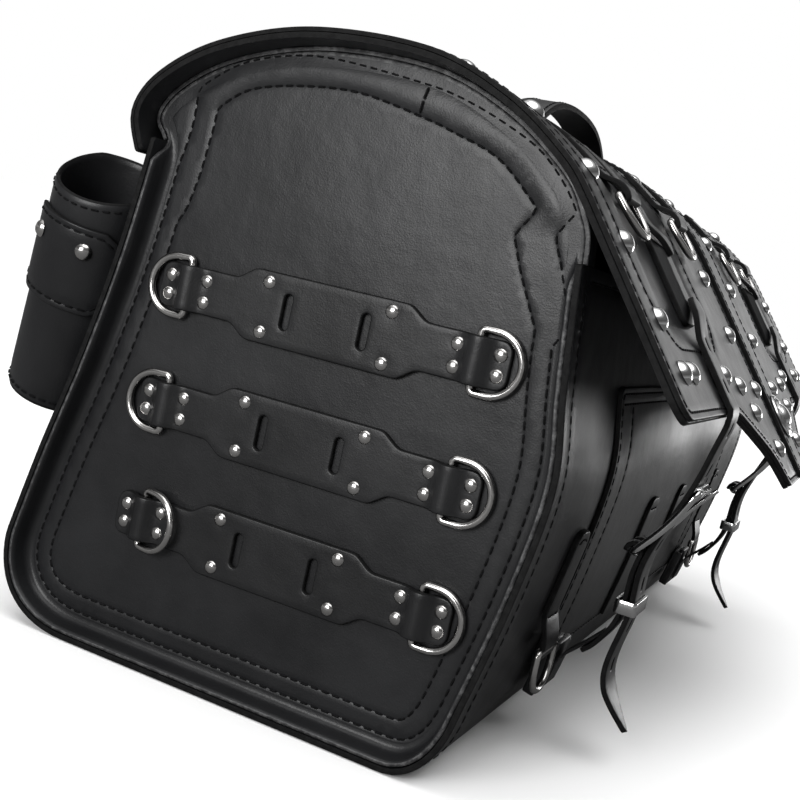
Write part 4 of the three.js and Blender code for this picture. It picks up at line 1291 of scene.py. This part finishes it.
def make_chape(name, x):
    """The leather that holds the buckle: round its lower bar and down to the clip."""
    body = f"closure_{name}"
    half = STRAP_WIDTH / 2
    fall_line = spline([[lower_bar[0] - 3, lower_bar[1] - 4], *CHAPE_FALL], 30)
    centre = lower_bar
    radius = (EYE_INNER + EYE_OUTER) / 2
    wrap = [centre + radius * np.array([math.cos(t), math.sin(t)]) for t in np.linspace(-0.2,
                                                                                        math.pi * 1.15, 14)]
    path = np.vstack([wrap, spline([wrap[-1], fall_line[4], *fall_line[8::6], fall_line[-1]], 26)[1:]])
    profile = Profile(path)
    gap = 8.0
    turn_end = radius * (math.pi * 1.15 + 0.2)
    slot_hole = box_outline(-gap / 2, gap / 2, 3.5, turn_end - 1, 3.0, 1.5)
    loop = box_outline(-half, half, 0, profile.length, 1.5, 2.5)
    made = patch(f"chape_leather_{name}", loop, along(profile, x), STRAP - 0.4, body,
                 base=-(STRAP - 0.4) / 2,
                 holes=[slot_hole], grid=3.0, edge=0.9, materials=STRAP_SKIN)
    label(made, "strap_leather", f"chape_{name}")


def make_keeper(name, x):
    """The metal loop that keeps the strap's tail."""
    y, z = KEEPER_AT
    corners = [(-15.6, -6.4, 2.2), (15.6, -6.4, 2.2), (15.6, 6.4, 2.2), (-15.6, 6.4, 2.2)]
    outer = outline(corners, 2.0)
    section = [(0.0, -3.4), (0.25, -3.9), (1.0, -4.0), (1.75, -3.9), (2.0, -3.4), (2.0, 3.4), (1.75, 3.9),
               (1.0, 4.0),
               (0.25, 3.9), (0.0, 3.4)]
    loops = []
    for d, h in section:
        ring_loop = inset(outer, d)
        loops.append(np.column_stack([x + ring_loop[:, 0], y + ring_loop[:, 1],
                                      np.full(len(outer), z + h)]))
    made = loft(f"keeper_loop_{name}", loops, f"closure_{name}", [CHROME], caps=False, closed_path=True,
                smooth=50)
    label(made, "chrome", f"keeper_{name}")


def rounded_block(name, size, to_place, body, material, radius=1.2):
    """A moulded block with rounded edges: size along local x, y and z, placed by to_place."""
    mesh = bmesh.new()
    bmesh.ops.create_cube(mesh, size=1)
    for vertex in mesh.verts:
        vertex.co = Vector([a * b for a, b in zip(vertex.co, size)])
    bmesh.ops.bevel(mesh, geom=mesh.edges[:], offset=radius, segments=3, affect="EDGES", profile=0.5)
    mesh.verts.ensure_lookup_table()
    vertices = np.array([tuple(v.co) for v in mesh.verts])
    faces = [[v.index for v in face.verts] for face in mesh.faces]
    mesh.free()
    return show(name, to_place(vertices), faces, body, [material], smooth=40)


def make_clip(name, x):
    """A plain quick-release clip: base, two rails and a tongue on webbing."""
    top = front_station(56)
    origin, across, _, out = seat(on_wrap, x, top, 0)
    down = unit(np.cross(across, out))
    if down[2] > 0:
        down = -down

    def at(offset):
        """A placing function for a block whose middle is at this offset across, down and out."""
        def put(v):
            return (origin + (v[:, :1] + offset[0]) * across + (v[:, 1:2] + offset[1]) * down
                    + (v[:, 2:] + offset[2]) * out)
        return put

    lift = OVERLAY + 3 * GAP
    base = rounded_block(f"clip_base_{name}", (34, 32, 3), at((0, 12, lift + 1.5)), "bag", PLASTIC)
    label(base, "clip_plastic", f"clip_socket_{name}")
    for end, tag in ((-1, "a"), (1, "b")):
        rail = rounded_block(f"clip_rail_{tag}_{name}", (4, 32, 6), at((15 * end, 12, lift + 4)), "bag",
                             PLASTIC)
        label(rail, "clip_plastic")
    hook = rounded_block(f"clip_tongue_{name}", (24, 34, 3.4), at((0, 10, lift + 5.6)), f"closure_{name}",
                         PLASTIC, 1.4)
    label(hook, "clip_plastic", f"clip_hook_{name}")
    fall_line = Profile(spline(CLIP_WEBBING, 24))
    band = patch(f"clip_webbing_{name}", box_outline(-10, 10, 0, fall_line.length, 1.0, 2.0),
                 along(fall_line, x),
                 1.4, f"closure_{name}", base=-0.7, grid=3.0, edge=0.4, materials=[WEBBING, WEBBING])
    label(band, "clip_plastic")


# ---------------------------------------------------------------- handle, hinge and pouch
HANDLE_FOOT = 96.0
HANDLE_RISE = 26.0
HANDLE_Y = 1.0
HANDLE_WIDTH = 28.0
HANDLE_BASE = float(arch_path[:, 1].max()) + OVERLAY + 2 * GAP
HANDLE_STATION = float(LID.s[np.argmax(arch_path[:, 1])])


def make_handle():
    """The carry handle, bowed up from two sewn feet."""
    bend = bezier([[-HANDLE_FOOT - 12, HANDLE_BASE], [-HANDLE_FOOT + 22, HANDLE_BASE],
                   [-HANDLE_FOOT + 14, HANDLE_BASE + HANDLE_RISE], [0, HANDLE_BASE + HANDLE_RISE]], 30)
    left = np.vstack([[-HANDLE_FOOT - 40, HANDLE_BASE], bend])
    path = np.vstack([left, (left * [-1, 1])[-2::-1]])
    side = turned_left(path, False)
    length = np.concatenate([[0], np.cumsum(np.linalg.norm(np.diff(path, axis=0), axis=1))])

    def place(y, s, lift=0.0):
        p = np.stack([np.interp(s, length, path[:, k]) for k in (0, 1)], -1)
        n = np.stack([np.interp(s, length, side[:, k]) for k in (0, 1)], -1)
        p = p + n * np.asarray(lift, float)[..., None]
        flat_share = np.clip(1 - (p[..., 1] - HANDLE_BASE) / HANDLE_RISE, 0, 1)
        sunk = lid_sag(p[..., 0], HANDLE_STATION) * flat_share
        return np.stack([p[..., 0], y + HANDLE_Y, p[..., 1] + sunk], -1)

    total = length[-1]
    half = HANDLE_WIDTH / 2
    loop = box_outline(-half, half, 0, total, 4.0, 3.0)
    rows = [np.linspace((v, 30), (v, total - 30), 80) for v in (-half + 4, half - 4)]
    handle = patch("handle_strap", loop, place, 4.0, "lid", base=0.0, seams=rows, grid=4.0, edge=1.3,
                   materials=STRAP_SKIN)
    label(handle, "strap_leather", "carry_handle")
    for name, s in (("left", -1), ("right", 1)):
        low = HANDLE_BASE + 4.3

        def flat(a, b, lift=0.0):
            return np.stack([a, b + HANDLE_Y, low + lid_sag(a, HANDLE_STATION) + lift], -1)

        x = s * (HANDLE_FOOT + 27)
        loop = box_outline(x - 11, x + 11, -18, 18, 4.0, 2.5)
        seam = box_outline(x - 7.5, x + 7.5, -14.5, 14.5, 2.0, 2.0)
        foot = patch(f"handle_foot_{name}", loop, flat, OVERLAY, "lid", base=0.0,
                     seams=[np.vstack([seam, seam[:1]])],
                     grid=3.0)
        label(foot, "leather", f"handle_patch_{name}")


def make_hinge():
    """The leather hinge: sewn to the back wall, it runs up behind the lid's back edge."""
    low = back_wall[(back_wall[:, 1] > 226) & (back_wall[:, 1] < 268)]
    wall = low + turned_left(low, False) * -(GAP + OVERLAY / 2)
    over = LID.at(np.array([LID_BACK + 1, LID_BACK + 10, LID_BACK + 24]), GAP + OVERLAY + GAP + OVERLAY / 2)
    profile = Profile(spline([*wall[::6], *over], 40))
    half = HALF_LENGTH - 16
    rows = [np.linspace((-half + 4, s), (half - 4, s), 160)
            for s in (5.0, profile.length - 6.0)]
    strip = patch("hinge_leather", box_outline(-half, half, 0, profile.length, 4.0, 4.0), along(profile),
                  OVERLAY,
                  ("bag",), base=-OVERLAY / 2, seams=rows, grid=6.0, sewn=False)
    label(strip, "leather", "hinge_strip")
    sew("bag", along(profile), rows[0], OVERLAY / 2 - 0.1)
    sew("lid", along(profile), rows[1], OVERLAY / 2 - 0.1)
    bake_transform(strip)


POUCH_RADIUS = 32.0
POUCH_LENGTH = 146.0
POUCH_BASE = np.array([-266.0, 194, 128])
POUCH_MOUTH = np.array([-294.0, 161, 264])


def make_pouch():
    """The bottle pouch: wall, floor and studded band."""
    up = unit(POUCH_MOUTH - POUCH_BASE)
    side = unit(np.array([1.0, 0, 0]) - up * up[0])
    depth = np.cross(side, up)

    def at(turn, height, radius):
        a = np.asarray(turn) / POUCH_RADIUS
        spread = np.cos(a)[..., None] * side + np.sin(a)[..., None] * depth
        return POUCH_BASE + spread * np.asarray(radius)[..., None] + up * np.asarray(height)[..., None]

    turns = 72
    angle = np.linspace(0, 2 * np.pi, turns, endpoint=False)
    mouth = POUCH_LENGTH - 4.5 + np.tan(math.radians(15)) * (POUCH_RADIUS * np.cos(angle) + 8) - 2.2
    mouth = np.minimum(mouth, POUCH_LENGTH)
    section = [(28.8, 0.02), (28.6, 0.5), (28.8, 0.97), (29.3, 0.992), (30.4, 1.0), (31.6, 0.992),
               (32.1, 0.97), (32.2, 0.9),
               (32.0, 0.5), (32.3, 0.1), (31.8, 0.015), (31.0, 0.0)]
    loops = [at(angle * POUCH_RADIUS, 0.2 + (mouth - 0.2) * share, np.full(turns, r)) for r,
             share in section]
    wall = loft("pouch_wall", loops + [loops[0]], "bag", BODY_SKIN, caps=False,
                slots=[0, 0, 0, 1, 1, 0, 0, 0, 0, 0, 1, 1], smooth=50)
    label(wall, "leather", "bottle_pouch")
    full = 2 * np.pi * POUCH_RADIUS
    walk = np.linspace(0, full, 120)

    def place(a, b, lift=0.0):
        return at(a, b, POUCH_RADIUS + np.asarray(lift))

    sew("bag", place, np.column_stack([walk, np.interp(walk, np.append(angle, 2 * np.pi) * POUCH_RADIUS,
                                                       np.append(mouth, mouth[0])) - 5]), 0.3)
    sew("bag", place, np.column_stack([walk, np.full(120, 5.0)]), 0.35)
    disc = lathe([(28.4, -1.6), (28.4, 0.4), (27.8, 1.3), (27.0, 1.7), (14.0, 1.9), (0.3, 1.9)], 40)
    origin = POUCH_BASE + up * 2.4
    base = scatter("pouch_floor", disc, [(origin, side, -depth, up)], "bag", BODY_LEATHER)
    label(base, "leather", "pouch_base")

    # shaped band round the pouch's outer side
    start, end = 0.02 * full, 0.98 * full
    third = (end - start) / 2
    loop = outline([(start, 72, 3), (start + third - 34, 72, 4), (start + third - 26, 66, 4),
                    (start + third + 26, 66, 4), (start + third + 34, 72, 4), (end, 72, 3), (end, 112, 3),
                    (start + third + 34, 112, 4), (start + third + 26, 118, 4), (start + third - 26, 118,
                                                                                 4),
                    (start + third - 34, 112, 4), (start, 112, 3)], 3.0)
    seam = inset(loop if area(loop) > 0 else loop[::-1], 3.6)
    band = patch("pouch_band_leather", loop, place, OVERLAY, "bag", base=0.5,
                 seams=[np.vstack([seam, seam[:1]])], grid=4.0)
    label(band, "leather", "pouch_band")
    spots = [seat(place, start + third + d, 104, OVERLAY + 0.4) for d in (-48, -16, 16, 48)]
    studs = scatter("pouch_studs", SMALL_STUD, spots, "bag", NICKEL, 50)
    label(studs, "nickel")


def dress(node, material):
    """A CAD node that stays in view gets its own material."""
    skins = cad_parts[node].data.materials
    skins.clear()
    skins.append(material)


make_wrap()
for end_name, end_side in (("left", -1), ("right", 1)):
    make_end(end_name, end_side)
make_front()
for plate_name in PLATE_Z:
    make_plate(plate_name)
for half_name, half_side in (("left", -1), ("right", 1)):
    make_front_ring(half_name, half_side)
    make_front_tab(half_name, half_side * FRONT_TAB_X)
    make_upper_strap(half_name, half_side * STRAP_X)
    make_closure(half_name, half_side * STRAP_X)
    make_chape(half_name, half_side * STRAP_X)
    make_keeper(half_name, half_side * STRAP_X)
    make_clip(half_name, half_side * STRAP_X)
make_lid()
make_studs()
make_concho()
for ring_number, ring_x in enumerate(LID_RING_X, 1):
    make_lid_ring(ring_number, ring_x)
make_handle()
make_hinge()
make_pouch()
make_stitches()
dress("bottom_board", BOARD)

visual_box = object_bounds()
boxes = {"cad": cad_box, "visual": visual_box}
{name: [list(corner) for corner in box] for name, box in boxes.items()}
